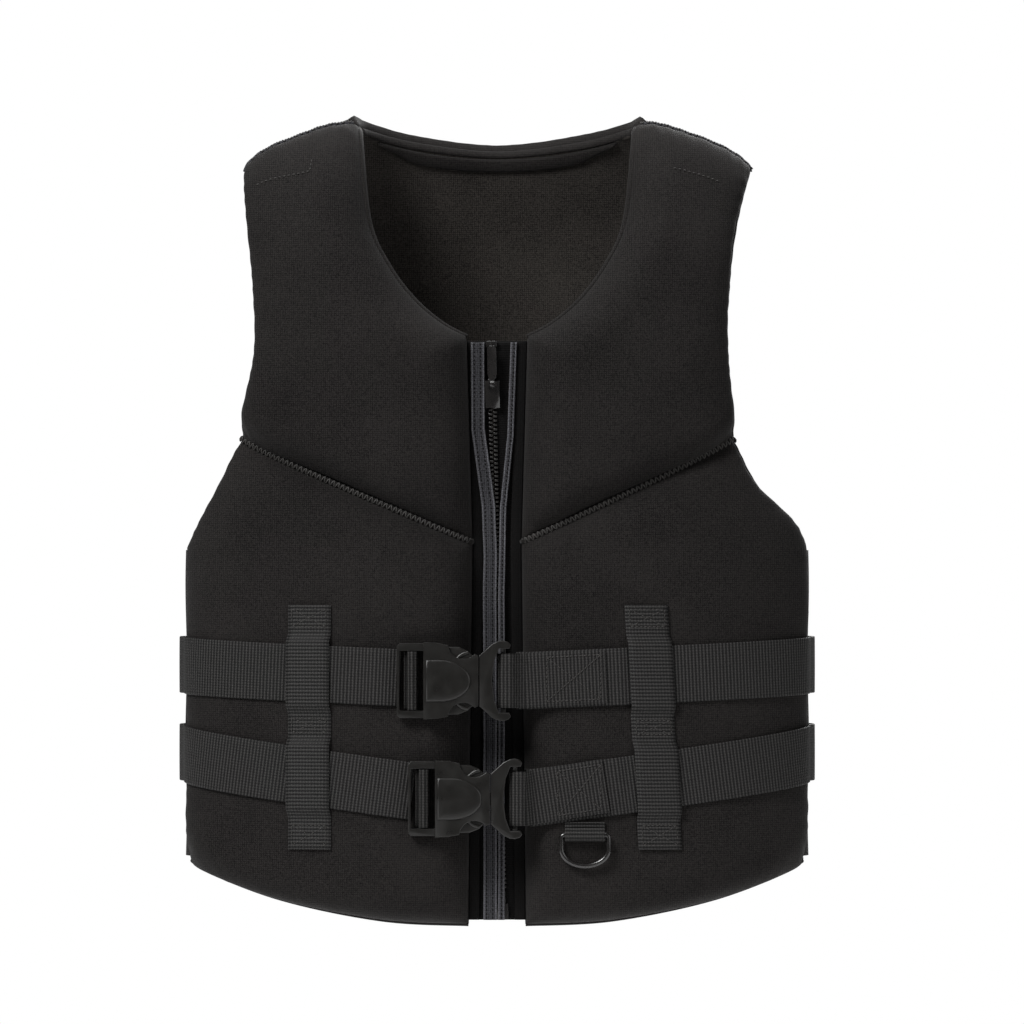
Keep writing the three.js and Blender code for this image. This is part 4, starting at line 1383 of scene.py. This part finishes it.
    def box_stitch(
        self, name: str, height: Callable[[Points], Points],
        corners: tuple[float, float, float], face: float,
    ) -> None:
        """Sews a crossed box on a flat stretch of belt.

        Args:
            name: the piece's name.
            height: the belt's middle height at a place across.
            corners: the box's left, right and half height.
            face: the depth of the webbing's outer face.
        """
        left, right, half = corners
        heap = Heap()
        for line in crossed_box(left, right, half, -half):
            spots = even(line, self.thread_step)
            z = spots[:, 1] + height(spots[:, 0]) - FORM.rest
            path = np.stack([spots[:, 0], np.full(len(spots), face), z], -1) * MM
            Stitch(radius=self.box_thread).sew(heap, path, forward(len(path)))
        place_piece(heap.make(name, self.finishes.thread), "vest", ())

    def adjuster_turn(self, belt: BeltLine) -> None:
        """Builds the webbing's turn over the adjuster's bar."""
        web = self.harness.webbing
        middle_x = sum(self.bar) / 2 + belt.buckle_x
        middle_y = self.buckle_back - 1 - self.frame_thick / 2
        turn = self.bar_thick / 2 + self.gap + web / 2
        reach = (self.bar[1] - self.bar[0]) / 2 - 0.6
        angles = np.radians(np.linspace(-90, 90, 7))
        bend = np.stack(
            [middle_x + reach + turn * np.cos(angles), middle_y + turn * np.sin(angles)], -1
        )
        run = np.concatenate(
            [[(middle_x - reach, middle_y - turn)], bend, [(middle_x - reach - 3, middle_y + turn)]]
        )
        name = f"{belt.name}_adjuster_webbing"
        node = f"{belt.name}_adjuster_turn"
        width = self.harness.width + 0.8
        self.plan_strap(name, belt, run[::-1], width, f"{belt.name}_release", node, False)

    def keeper(self, line: KeeperLine) -> None:
        """Builds one keeper strap, bridging over both belts, with its crossed stitching."""
        front = line.facing is Facing.FRONT
        side = "right" if line.low_x < 0 else "left"
        pad = self.pads[f"{side}_waist" if front else "back_waist"]
        rest = self.harness.lie - 0.15
        over = 2 * self.harness.lie + self.harness.webbing + 0.5
        z = np.arange(line.low_z, line.high_z + 0.1, 1.5)
        middle = line.middle(z)
        lift = np.full_like(z, rest)
        for belt in self.harness.belts:
            centre = self.harness.belt_height(belt, middle, line.facing)
            gap = np.abs(z - centre) - self.harness.width / 2 - 2.0
            lift = np.maximum(lift, rest + (over - rest) * np.clip(1 - gap / 6, 0, 1))
        columns = np.linspace(-0.5, 0.5, 9)
        x = middle[:, None] + line.width * columns[None]
        height = np.repeat(z[:, None], len(columns), 1)
        base = pad.top(np.abs(x) if front else x, height)
        inner = FORM.lay(x, height, base + lift[:, None], line.facing)
        crown = self.keeper_thick - 0.45 * (2 * np.abs(columns)) ** 6
        outer = FORM.lay(x, height, base + lift[:, None] + crown[None], line.facing)
        points, faces = shell(outer, inner)
        along = np.repeat(lengths(outer[:, 4]), len(columns))
        flat = np.stack([along, np.tile(columns * line.width * MM, len(z))], -1)
        heap = Heap()
        heap.add(points, faces, np.concatenate([flat, flat]))
        piece = heap.make(f"{line.name}_keeper_webbing", self.finishes.webbing)
        place_piece(piece, "vest", (f"{line.name}_keeper",))
        self.keeper_stitches(line, pad, rest + self.keeper_thick)

    def keeper_stitches(self, line: KeeperLine, pad: Pad, lift: float) -> None:
        """Sews crossed boxes at the keeper's ends and between the belts."""
        half = line.width / 2 - 2.6
        place = np.array([line.low_x])
        heights = [
            self.harness.belt_height(belt, place, line.facing)[0] for belt in self.harness.belts
        ]
        middle = float(np.mean(heights))
        boxes = [
            (line.low_z + 3, line.low_z + 17),
            (line.high_z - 15, line.high_z - 3),
            (middle - 5, middle + 5),
        ]
        heap = Heap()
        front = line.facing is Facing.FRONT
        for low, high in boxes:
            for sewn in crossed_box(-half, half, low, high):
                spots = even(sewn, self.thread_step)
                x = line.middle(spots[:, 1]) + spots[:, 0]
                top = pad.top(np.abs(x) if front else x, spots[:, 1]) + lift
                path = FORM.lay(x, spots[:, 1], top, line.facing)
                out = FORM.normals(x, spots[:, 1], top, line.facing)
                Stitch(radius=self.keeper_thread).sew(heap, path, out)
        piece = heap.make(f"{line.name}_keeper_stitching", self.finishes.thread)
        place_piece(piece, "vest", ())

    def make(self) -> None:
        """Builds every strap."""
        for belt in self.harness.belts:
            self.belt(belt)
            self.loop(belt)
            self.adjuster_turn(belt)
        for line in self.harness.keepers:
            self.keeper(line)


# ---- Linings, side panels and bindings ----


@dataclass
class Shell:
    """The unpadded cloth: linings, side panels, the neck band and the bound edges."""

    pads: dict[str, Pad]
    pattern: Pattern
    finishes: Finishes
    thick: float = 2.4
    side_thick: float = 5.0
    least_cut: float = 10.0

    def cloth(
        self, name: str, grids: tuple[Points, Points], held: str, node: str, slot: str,
        rests_on: Sequence[str],
    ) -> None:
        """Makes one sheet from its two faces.

        Args:
            name: the piece's name.
            grids: its outer and inner faces.
            held: not used.
            node: the CAD node it replaces.
            slot: picks the finish, the lining's for neoprene_lining and the cover's otherwise.
            rests_on: not used.
        """
        heap = Heap()
        heap.add(*shell(*grids))
        inside = slot == "neoprene_lining"
        piece = heap.make(name, self.finishes.lining if inside else self.finishes.neoprene)
        place_piece(piece, "vest", (node,))
        middle = (grids[0] + grids[1]) / 2
        longest = max(float(lengths(row)[-1]) for row in middle.swapaxes(0, 1))

    def lining(self, name: str, low: Pad, high: Pad, node: str) -> None:
        """Builds one lining behind two pads."""
        grids = []
        for offset in (-FORM.gap / 2, -FORM.gap / 2 - self.thick):
            faces = []
            for pad in (low, high):
                x, z = pad.pattern(60, 44)
                faces.append(FORM.lay(x * pad.side, z, np.full_like(x, offset), pad.facing))
            grids.append(np.concatenate([faces[0][:-1], faces[1]]))
        rests = [f"{low.name}_pad", f"{high.name}_pad"]
        self.cloth(name, (grids[0], grids[1]), "laid", node, "neoprene_lining", rests)

    def side_panel(self, side: Side) -> None:
        """Builds the strip under one arm."""
        start = float(FORM.angle(self.pattern.side_x)) + FORM.gap / (FORM.half_depth * 0.6)
        angle = np.linspace(start, math.pi - start, 30)
        heights = np.linspace(self.pattern.hem_side_z + 1, self.pattern.underarm_z - 1, 70)
        grids = []
        for offset in (self.side_thick - self.thick, -self.thick):
            ripple = 0.5 * np.sin(heights / 17.0) * (offset > 0)
            x, y = FORM.ring(angle[None], offset + ripple[:, None])
            shift = np.where(angle < math.pi / 2, FORM.gap / 2, -FORM.gap / 2)
            z = np.broadcast_to(heights[:, None] - FORM.rest, x.shape)
            grids.append(np.stack([side.value * x, -y - shift, z], -1) * MM)
        name = side.name.lower()
        rests = [f"{name}_waist_pad", "back_waist_pad"]
        self.cloth(f"{name}_side_cloth", (grids[0], grids[1]), "stretched",
                   f"{name}_side_panel", "neoprene_outer", rests)

    def neck_band(self) -> None:
        """Builds the folded band inside the neckline behind."""
        x = np.linspace(-86, 86, 80)
        top = self.pattern.neck_back_z + 6 * (x / 60) ** 2 - 1.2
        fold = 8 * np.clip((90 - np.abs(x)) / 30, 0.12, 1)
        heights = top[None] - fold[None] * np.linspace(1, 0, 9)[:, None]
        across = np.broadcast_to(x[None] + 1e-6, heights.shape)
        roll = 0.8 * np.sin(np.linspace(0, math.pi, 9))[:, None]
        face = -FORM.gap / 2 - self.thick - 0.3
        outer = FORM.lay(across, heights, np.full(heights.shape, face), Facing.BACK)
        inner = FORM.lay(across, heights, face - 2.0 - roll + 0 * across, Facing.BACK)
        self.cloth("back_neck_fold", (outer, inner), "folded", "back_neck_band",
                   "neoprene_outer", ["back_lining_cloth"])

    def bound_edge(self, name: str, line: Points, side: float, facing: Facing) -> None:
        """Wraps a raw edge in a folded strip of the cover's cloth, with its stitching.

        Args:
            name: the piece's name.
            line: the edge's flat line.
            side: the sign of X, or 1 on the back.
            facing: front or back.
        """
        flat = even(line, 2.5)
        x, z = flat[:, 0] * side, flat[:, 1]
        middle = np.full_like(x, 0.3)
        path = FORM.lay(x, z, middle, facing)
        out = FORM.normals(x, z, middle, facing)
        heap = Heap()
        sweep(heap, path, out, oval(1.7, 3.5, 14))
        place_piece(heap.make(name, self.finishes.neoprene), "vest", ())

    def make(self) -> None:
        """Builds every unpadded piece."""
        pads = self.pads
        for side in Side:
            name = side.name.lower()
            waist, chest = pads[f"{name}_waist"], pads[f"{name}_chest"]
            self.lining(f"{name}_front_lining_cloth", waist, chest, f"{name}_front_lining")
            self.side_panel(side)
            self.bound_edge(f"{name}_hem_binding", waist.sides["bottom"].line, side.value,
                            Facing.FRONT)
            self.bound_edge(f"{name}_armhole_binding", chest.sides["outer"].line, side.value,
                            Facing.FRONT)
            self.bound_edge(f"{name}_neck_binding", self.pattern.neck(), side.value, Facing.FRONT)
        self.lining("back_lining_cloth", pads["back_waist"], pads["back_chest"], "back_lining")
        self.neck_band()
        self.bound_edge("back_hem_binding", self.pattern.back_hem(), 1, Facing.BACK)
        self.bound_edge("back_neck_binding", self.pattern.back_neck(), 1, Facing.BACK)
        for side in Side:
            line = pads["back_chest"].sides["outer"].line
            self.bound_edge(f"{side.name.lower()}_back_armhole_binding", line, side.value,
                            Facing.BACK)


@dataclass
class SeamWork:
    """The raised seams between pads and the oversewing on them and on the shoulders."""

    pads: dict[str, Pad]
    pattern: Pattern
    finishes: Finishes
    cord: float = 1.9

    def raised(self, name: str, line: Points, pad: Pad) -> None:
        """Runs a rolled seam between two pads and oversews it.

        Args:
            name: the seam's name.
            line: its flat line.
            pad: the pad below it.
        """
        flat = even(line, 1.5)
        x, z = flat[:, 0] * pad.side, flat[:, 1]
        spot = np.abs(x) if pad.facing is Facing.FRONT else x
        top = pad.surface(spot, z - self.cord) - 0.1
        path = FORM.lay(x, z, top, pad.facing)
        out = FORM.normals(x, z, top, pad.facing)
        heap = Heap()
        sweep(heap, path, out, oval(self.cord, self.cord * 0.8, 12))
        place_piece(heap.make(f"{name}_roll", self.finishes.neoprene), "vest", ())
        self.oversew(f"{name}_oversewing", path, out, self.cord * 1.1, 3.6)

    def oversew(self, name: str, path: Points, out: Points, reach: float, pitch: float) -> None:
        """Winds thread to and fro over an edge or a seam.

        Args:
            name: the piece's name.
            path: the seam's middle line, in metres.
            out: its outward direction.
            reach: how far the thread goes to each side, in millimetres.
            pitch: the distance between turns, in millimetres.
        """
        along = lengths(path)
        turns = int(along[-1] / (pitch * MM))
        fine = np.linspace(0, 1, turns * 8 + 1)
        phase = fine * turns * 2 * math.pi
        middle = resample(path, fine)
        normal = unit(read_off(fine * along[-1], along, out))
        across = unit(np.cross(tangents(middle), normal))
        wound = (
            middle
            + across * (reach * MM * np.sin(phase))[:, None]
            + normal * (self.cord * 0.95 * MM * np.sqrt(1 - 0.75 * np.sin(phase) ** 2))[:, None]
        )
        heap = Heap()
        sweep(heap, wound, normal, oval(0.5, 0.4, 6))
        place_piece(heap.make(name, self.finishes.thread), "vest", ())

    def shoulder(self, side: Side) -> None:
        """Oversews the shoulder's ridge and tacks the strap below it."""
        (in_x, in_z), (out_x, out_z) = FORM.shoulder_in, FORM.shoulder_out
        flat = even(np.array([(in_x + 2, in_z - 0.9), (out_x - 1, out_z + 0.4)]), 1.5)
        name = side.name.lower()
        pad = self.pads[f"{name}_chest"]
        top = pad.surface(flat[:, 0], flat[:, 1] - 1.0) - 0.5
        x = flat[:, 0] * side.value
        path = FORM.lay(x, flat[:, 1], top, Facing.FRONT)
        out = np.tile([0.0, -0.1, 1.0], (len(path), 1))
        heap = Heap()
        sweep(heap, path, out, oval(2.1, 1.7, 12))
        # The roll takes the flaps' lighter cloth, a painted highlight along the ridge.
        roll = heap.make(f"{name}_shoulder_roll", self.finishes.flap)
        place_piece(roll, "vest", ())
        self.oversew(f"{name}_shoulder_oversewing", path, out, 2.6, 4.2)
        lines = {
            Side.RIGHT: [(157, 509), (120, 517), (119, 525)],
            Side.LEFT: [(113, 520), (144, 511)],
        }[side]
        tack = even(np.array(lines, float), 2.0)
        x = tack[:, 0] * side.value
        top = pad.surface(tack[:, 0], tack[:, 1]) + 0.2
        heap = Heap()
        normals = FORM.normals(x, tack[:, 1], top, Facing.FRONT)
        path = FORM.lay(x, tack[:, 1], top, Facing.FRONT)
        Stitch(radius=0.42, pitch=3.4, length=2.2).sew(heap, path, normals)
        place_piece(heap.make(f"{name}_shoulder_tack", self.finishes.thread), "vest", ())

    def make(self) -> None:
        """Builds every seam."""
        for side, seam_x in ((Side.RIGHT, 176.0), (Side.LEFT, 162.0)):
            name = side.name.lower()
            line = even(self.pattern.seam(seam_x), 2.0)
            self.raised(f"{name}_chest_seam", line, self.pads[f"{name}_waist"])
            self.shoulder(side)
        self.raised("back_chest_seam", self.pattern.back_seam(), self.pads["back_waist"])


# ---- Zip ----


@dataclass
class Zip:
    """The front zip: tapes, moulded teeth, soft flaps, slider and pull."""

    finishes: Finishes
    pattern: Pattern
    lean: float = -0.0196
    middle_z: float = 210.0
    low_z: float = 6.0
    high_z: float = 412.0
    tape_back: float = -64.6
    tape: float = 1.4
    teeth_back: float = -66.3
    tooth_pitch: float = 3.0
    row_low: float = 26.6
    row_high: float = 407.7
    flap_widths: tuple[float, float] = (8.6, 3.6)
    flap_back: float = -68.9
    sewn_rows: tuple[float, float] = (0.27, 0.8)
    sewn_dip: float = 0.35
    flap_kept: float = 0.34
    facing_width: float = 7.6

    def line(self, z: Points) -> Points:
        """Finds the zip's middle at a height."""
        return (np.asarray(z, float) - self.middle_z) * math.tan(self.lean)

    def edge(self, z: Points) -> Points:
        """Finds a front half's middle edge at a height."""
        cut = self.pattern
        heights = [cut.hem_front_z, cut.seam_in_z, cut.neck_z]
        return np.interp(z, heights, [cut.hem_edge, cut.front_edge, cut.neck_edge])

    def strip(self, x: Points, z: Points, front: Points, back: float) -> tuple[Points, Points]:
        """Stands a flat strip up beside the zip.

        Args:
            x: a grid of places across.
            z: the height of each of its rows above the hem.
            front: the depth of its front face at each place.
            back: the depth of its flat back.

        Returns:
            Its front and back faces, in metres.
        """
        height = np.broadcast_to(z[:, None] - FORM.rest, x.shape)
        faces = [np.stack([x, depth, height], -1) * MM for depth in (front, np.full_like(x, back))]
        return faces[0], faces[1]

    def tapes(self, side: Side) -> None:
        """Builds one tape from the teeth out to the pad's edge."""
        z = np.linspace(self.low_z, self.high_z, 140)
        near = self.line(z) + side.value * 0.5
        far = side.value * (self.edge(z) - 0.1)
        share = np.linspace(0, 1, 14)
        x = near[:, None] + (far - near)[:, None] * share
        wave = 0.12 * np.sin(x * 2.1)
        front, back = self.strip(x, z, self.tape_back - self.tape - wave, self.tape_back)
        points, faces = shell(front, back)
        flat = front.reshape(-1, 3)[:, [2, 0]]
        heap = Heap()
        heap.add(points, faces, np.concatenate([flat, flat]))
        name = side.name.lower()
        # The tape takes the darkened weave, painted shade for the deep gap beside the teeth.
        piece = heap.make(f"{name}_zip_woven_tape", self.finishes.tape)
        place_piece(piece, "vest", (f"{name}_zip_tape",))

    def tooth(self) -> tuple[Points, list[tuple[int, ...]]]:
        """Draws one tooth: a stubby block with a bead at its meeting end."""
        outline = [(0.15, -0.62), (0.75, -0.95), (1.6, -0.72), (2.95, -0.9), (2.95, 0.9),
                   (1.6, 0.72), (0.75, 0.95), (0.15, 0.62)]
        flat = np.array(outline)
        rings = []
        for depth, share in ((0.0, 1.0), (1.5, 1.0), (2.0, 0.88), (2.2, 0.6)):
            ring = (flat - [1.5, 0]) * share + [1.5, 0]
            rings.append(np.stack([ring[:, 0], np.full(len(flat), -depth), ring[:, 1]], -1))
        return np.concatenate(rings), tube_faces(len(rings), len(flat))

    def teeth(self, side: Side) -> None:
        """Builds one row of teeth, half a pitch apart from the other row's."""
        form, faces = self.tooth()
        heap = Heap()
        start = self.row_low + 1.0 + (self.tooth_pitch / 2 if side is Side.LEFT else 0)
        turn = math.cos(self.lean)
        for z in np.arange(start, self.row_high - 1.0, self.tooth_pitch):
            tooth = form * [side.value, 1, 1]
            offset = z - self.middle_z
            x = tooth[:, 0] * turn + offset * math.sin(self.lean)
            height = tooth[:, 2] + self.middle_z + offset * turn - FORM.rest
            heap.add(np.stack([x, tooth[:, 1] + self.teeth_back, height], -1) * MM, faces)
        name = side.name.lower()
        piece = heap.make(f"{name}_zip_moulded_teeth", self.finishes.teeth)
        place_piece(piece, "vest", (f"{name}_zip_teeth",))

    def flap_edge(self, side: Side, z: Points) -> Points:
        """Finds where a flap's meeting edge lies at a height."""
        kinks = 0.35 * np.sin(z / 13.0) * np.exp(-(((z - 252) / 30) ** 2))
        if side is Side.RIGHT:
            return np.interp(z, [6, 262, 296, 350, 412], [-0.5, -0.7, -1.6, -9.0, -9.3]) + kinks
        return np.interp(z, [6, 262, 296, 345, 412], [1.2, 1.5, 2.6, 7.6, 10.0]) + kinks

    def flap(self, side: Side) -> None:
        """Builds one soft flap over the teeth: folded cloth, piping and two sewn rows.
        """
        z = np.arange(self.low_z, self.high_z + 0.1, 1.5)
        edge = self.flap_edge(side, z)
        width = self.flap_widths[side is Side.LEFT]
        share = np.linspace(0, 1, 15)
        x = edge[:, None] + side.value * width * share[None]
        crown = 1.5 + 0.55 * np.sin(np.pi * share) ** 0.5 + 0.06 * np.sin(z / 7.0)[:, None]
        for row in self.sewn_rows:
            crown = crown - self.sewn_dip * np.exp(-(((share - row) / 0.07) ** 2))
        front, back = self.strip(x, z, self.flap_back - crown, self.flap_back)
        heap = Heap()
        heap.add(*shell(front, back))
        out = forward(len(z))
        # The folds take the pale piping finish, a painted highlight along each folded edge.
        folds = Heap()
        for place in (0.0, 1.0):
            column = int(place * (len(share) - 1))
            path = front[:, column] + np.array([side.value * (0.5 - place) * 0.6, 0.2, 0]) * MM
            sweep(folds, path, out, oval(0.75, 0.75, 8))
        name = side.name.lower()
        cloth = heap.make(f"{name}_zip_flap", self.finishes.flap)
        piping = folds.make(f"{name}_zip_flap_piping", self.finishes.piping)
        # The sewn rows take the near-black thread, painted shade for the stitch holes.
        rows = Heap()
        for column in (4, 11) if side is Side.RIGHT else (8,):
            path = front[:, column] + np.array([0, -0.05, 0]) * MM
            Stitch(pitch=2.8, length=1.7, radius=0.42).sew(rows, path, out)
        sewing = rows.make(f"{name}_zip_flap_stitching", self.finishes.shade_dark_thread)
        for piece in (cloth, piping, sewing):
            place_piece(piece, "vest", ())
            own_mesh(piece)

    def facing(self, side: Side) -> None:
        """Builds the flat strip that holds the tape to the pad's edge."""
        z = np.arange(self.low_z, self.high_z + 0.1, 2.0)
        share = np.linspace(0, 1, 9)
        near = self.edge(z) + 0.08
        x = side.value * (near[:, None] - self.facing_width * share[None])
        crown = 1.7 + 0.3 * np.sin(np.pi * share)[None] + 0 * z[:, None]
        front, back = self.strip(x, z, self.teeth_back - crown, self.teeth_back)
        heap = Heap()
        heap.add(*shell(front, back))
        name = side.name.lower()
        # The facing takes the darkened cloth, painted shade for the deep gap between the pads.
        piece = heap.make(f"{name}_zip_facing_cloth", self.finishes.facing)
        place_piece(piece, "vest", (f"{name}_zip_facing",))

    def metal(self) -> None:
        """Rounds and coats the slider, pull, stops, box and pins."""
        parts = {
            "zip_slider": "slider", "zip_pull": "pull", "zip_retainer_box": "vest",
            "zip_retainer_pin": "vest", "zip_insert_pin": "vest",
            "left_zip_top_stop": "vest", "right_zip_top_stop": "vest",
        }
        for node, body in parts.items():
            width = 0.45 if node in ("zip_slider", "zip_pull") else 0.3
            piece = rounded_copy(node, f"{node}_coated", width, self.finishes.metal)
            place_piece(piece, body, (node,))

    def make(self) -> None:
        """Builds the whole zip."""
        for side in Side:
            self.tapes(side)
            self.teeth(side)
            self.facing(side)
            self.flap(side)
        self.metal()


# ---- Buckles and ring ----


@dataclass
class Buckle:
    """One side-release buckle: rounded mouldings with an inset panel and creased prongs."""

    belt: BeltLine
    finishes: Finishes
    back: float = -94.71
    thickness: float = 13.0
    panel: tuple[float, float, float] = (-49.5, -18.5, 14.5)

    def mouldings(self) -> None:
        """Rounds each moulding of the frame on its own body."""
        name = self.belt.name
        parts = {
            f"{name}_buckle_female": (f"{name}_release", 1.1),
            f"{name}_buckle_male": ("vest", 1.1),
            f"{name}_prong_upper": (f"{name}_prong_a", 0.9),
            f"{name}_prong_lower": (f"{name}_prong_b", 0.9),
        }
        for node, (body, width) in parts.items():
            piece = rounded_copy(node, f"{node}_moulding", width, self.finishes.plastic)
            place_piece(piece, body, (node,))

    def nose(self, inset: float) -> Points:
        """Draws the bullet-shaped panel's outline, drawn in by an inset."""
        left, right, half = self.panel
        left, right, half = left + inset, right - inset, half - inset
        turn = np.linspace(math.pi / 2, -math.pi / 2, 25)
        straight = left + (right - left) * 0.3
        nose = np.stack([straight + (right - straight) * np.cos(turn), half * np.sin(turn)], -1)
        return np.concatenate([[(left, half)], nose, [(left, -half)]])

    def panel_plate(self) -> None:
        """Builds the raised bullet-shaped panel on the female half."""
        rings = []
        face = self.back - self.thickness
        for inset, lift in ((0.0, -0.3), (0.0, 0.4), (0.4, 0.95), (1.2, 1.2), (6.0, 1.4)):
            flat = resample(self.nose(inset), np.linspace(0, 1, 60))
            x = flat[:, 0] + self.belt.buckle_x
            z = flat[:, 1] + self.belt.buckle_z - FORM.rest
            rings.append(np.stack([x, np.full(len(x), face - lift), z], -1) * MM)
        heap = Heap()
        heap.add(np.concatenate(rings), tube_faces(len(rings), len(rings[0])))
        piece = heap.make(f"{self.belt.name}_buckle_panel", self.finishes.plastic)
        place_piece(piece, f"{self.belt.name}_release", ())

    def creases(self) -> None:
        """Builds the slanting thumb ridge on each prong."""
        for name, body, sign in (("upper", "a", 1), ("lower", "b", -1)):
            face = self.back - self.thickness / 2 - 3.5
            ends = np.array([(-28.0, 15.2), (-24.0, 18.4), (-19.8, 19.6)])
            flat = even(spline(ends, 8), 0.7)
            path = np.stack(
                [flat[:, 0] + self.belt.buckle_x, np.full(len(flat), face),
                 sign * flat[:, 1] + self.belt.buckle_z - FORM.rest], -1
            ) * MM
            heap = Heap()
            sweep(heap, path, forward(len(path)), oval(1.3, 0.8, 12))
            piece = heap.make(f"{self.belt.name}_prong_{name}_ridge", self.finishes.plastic)
            place_piece(piece, f"{self.belt.name}_prong_{body}", ())

    def make(self) -> None:
        """Builds the buckle."""
        self.mouldings()
        self.panel_plate()
        self.creases()


@dataclass
class Ring:
    """The D-ring of round wire and the tab that holds it."""

    finishes: Finishes
    x: float = 61.5
    half: float = 18.5
    bar_z: float = 66.5
    low: float = 43.0
    wire: float = 4.0
    centre_y: float = -97.232
    tab_width: float = 28.0
    tab_top: float = 75.4
    webbing: float = 1.5

    def ring(self) -> None:
        """Bends the wire into a D with its flat bar on top."""
        r, half = self.wire / 2, self.half - self.wire / 2
        turn_z = self.low + self.half * 0.75
        angles = np.radians(np.linspace(180, 360, 41))
        bow = np.stack([half * np.cos(angles), turn_z + (turn_z - self.low - r)
                        * np.sin(angles)], -1)
        corner = 2.4
        turn = np.radians(np.linspace(0, 90, 7))
        right = np.stack([half - corner + corner * np.cos(turn),
                          self.bar_z - corner + corner * np.sin(turn)], -1)
        left = right[::-1] * [-1, 1]
        bar = np.stack([np.linspace(half - corner, corner - half, 24)[1:-1],
                        np.full(22, self.bar_z)], -1)
        flat = np.concatenate([bow, right, bar, left])
        path = np.stack([flat[:, 0] + self.x, np.full(len(flat), self.centre_y),
                         flat[:, 1] - FORM.rest], -1) * MM
        heap = Heap()
        sweep(heap, path, forward(len(path)), oval(r, r, 18), closed=True)
        piece = heap.make("d_ring_wire", self.finishes.metal)
        place_piece(piece, "ring", ("d_ring",))

    def tab(self) -> None:
        """Folds the webbing tab round the ring's bar."""
        turn = self.wire / math.sqrt(2) + 0.3 + self.webbing / 2
        back = self.centre_y + turn
        angles = np.radians(np.linspace(0, -180, 15))
        bend = np.stack([self.centre_y + turn * np.cos(angles),
                         self.bar_z + turn * np.sin(angles)], -1)
        run = np.concatenate([[(back, self.tab_top)], bend,
                              [(self.centre_y - turn, self.tab_top - 4)]])
        flat = even(run, 0.7)
        path = np.stack([np.full(len(flat), self.x), flat[:, 0], flat[:, 1] - FORM.rest], -1) * MM
        way = tangents(path)
        out = unit(np.stack([np.zeros(len(way)), way[:, 2], -way[:, 1]], -1))
        profile = strap_profile(self.tab_width, self.webbing)
        profile[:, 1] -= self.webbing / 2
        heap = Heap()
        sweep(heap, path, out, profile)
        piece = heap.make("d_ring_tab_webbing", self.finishes.webbing)
        place_piece(piece, "vest", ("d_ring_tab",))

    def make(self) -> None:
        """Builds the ring and its tab."""
        self.ring()
        self.tab()


# ---- Studio ----


@dataclass(frozen=True)
class Studio:
    """A plain pale floor, soft light from the upper left and a level camera."""

    distance: float = 6.0
    centre: tuple[float, float] = (10.5, -248.0)
    view: float = 716.8
    film: float = 36.0
    front_y: float = -80.0
    floor_z: float = -760.0
    ambient: float = 0.15

    def camera(self) -> None:
        """Sets the camera level with the vest's middle."""
        data = bpy.data.cameras.new("camera")
        data.sensor_width = self.film
        data.lens = self.film * self.distance / (self.view * MM)
        camera = bpy.data.objects.new("camera", data)
        x, z = self.centre
        camera.location = (x * MM, self.front_y * MM - self.distance, z * MM)
        camera.rotation_euler = (math.pi / 2, 0, 0)
        bpy.context.scene.collection.objects.link(camera)
        bpy.context.scene.camera = camera

    def lamp(
        self, name: str, place: tuple[float, float, float], size: float, power: float
    ) -> None:
        """Hangs one square soft lamp that faces the vest.

        Args:
            name: the lamp's name.
            place: where it hangs, in metres.
            size: its side, in metres.
            power: its power, in watts.
        """
        data = bpy.data.lights.new(name, "AREA")
        data.size = size
        data.energy = power
        lamp = bpy.data.objects.new(name, data)
        lamp.location = place
        lamp.rotation_euler = (Vector((0, 0, -0.25)) - Vector(place)).to_track_quat(
            "-Z", "Y"
        ).to_euler()
        bpy.context.scene.collection.objects.link(lamp)

    def floor(self) -> None:
        """Lays the pale floor below the hanging vest."""
        step = np.linspace(-1.1, 1.1, 12)
        x, y = np.meshgrid(step, step)
        points = np.stack([x, y, np.full_like(x, self.floor_z * MM)], -1)
        heap = Heap()
        heap.add(points, grid_faces(12, 12))
        paper = Moulded(name="matt_white_paper", base="#f2f2f2", worn="#f6f6f6",
                        roughness=(0.9, 0.95), specular=0.1).make()
        piece = heap.make("floor", paper)

    def make(self) -> None:
        """Builds the studio."""
        self.camera()
        self.lamp("key", (-1.6, -2.0, 1.9), 1.3, 150.0)
        self.lamp("fill", (2.2, -2.0, 0.3), 1.8, 22.0)
        self.lamp("top", (0.1, 0.2, 2.0), 1.2, 40.0)
        self.lamp("back", (0.6, 2.2, 0.8), 1.6, 60.0)
        self.floor()
        world = bpy.data.worlds.new("studio")
        world.use_nodes = True
        background = world.node_tree.nodes["Background"]
        background.inputs["Color"].default_value = (1, 1, 1, 1)
        # The backdrop is white to the eye and gives the vest only a little light.
        seen = add_node(world.node_tree, "ShaderNodeLightPath", {})
        strength = add_node(
            world.node_tree,
            "ShaderNodeMapRange",
            {"Value": seen.outputs["Is Camera Ray"], "To Min": self.ambient, "To Max": 1.0},
        )
        world.node_tree.links.new(strength.outputs["Result"], background.inputs["Strength"])
        bpy.context.scene.world = world
        bpy.context.scene.view_settings.view_transform = "Standard"


def main() -> None:
    """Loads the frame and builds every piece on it."""
    logging.basicConfig(level=logging.INFO, format="%(name)s: %(message)s")
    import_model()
    finishes = Finishes()
    pattern = Pattern()
    harness = Harness()
    made = [
        *pattern.front("right", Side.RIGHT, 176.0, 164.0),
        *pattern.front("left", Side.LEFT, 162.0, 156.0),
        *pattern.back(),
    ]
    pads = {pad.name: pad for pad in made}
    for pad in made:
        side = pad.side if pad.facing is Facing.FRONT else 0
        pad.make(finishes.neoprene, harness.freedom(pad.facing, side))
    Shell(pads, pattern, finishes).make()
    SeamWork(pads, pattern, finishes).make()
    Straps(pads, finishes, harness).make()
    Zip(finishes, pattern).make()
    for belt in harness.belts:
        Buckle(belt, finishes).make()
    Ring(finishes).make()
    Studio().make()


if __name__ == "__main__":
    main()
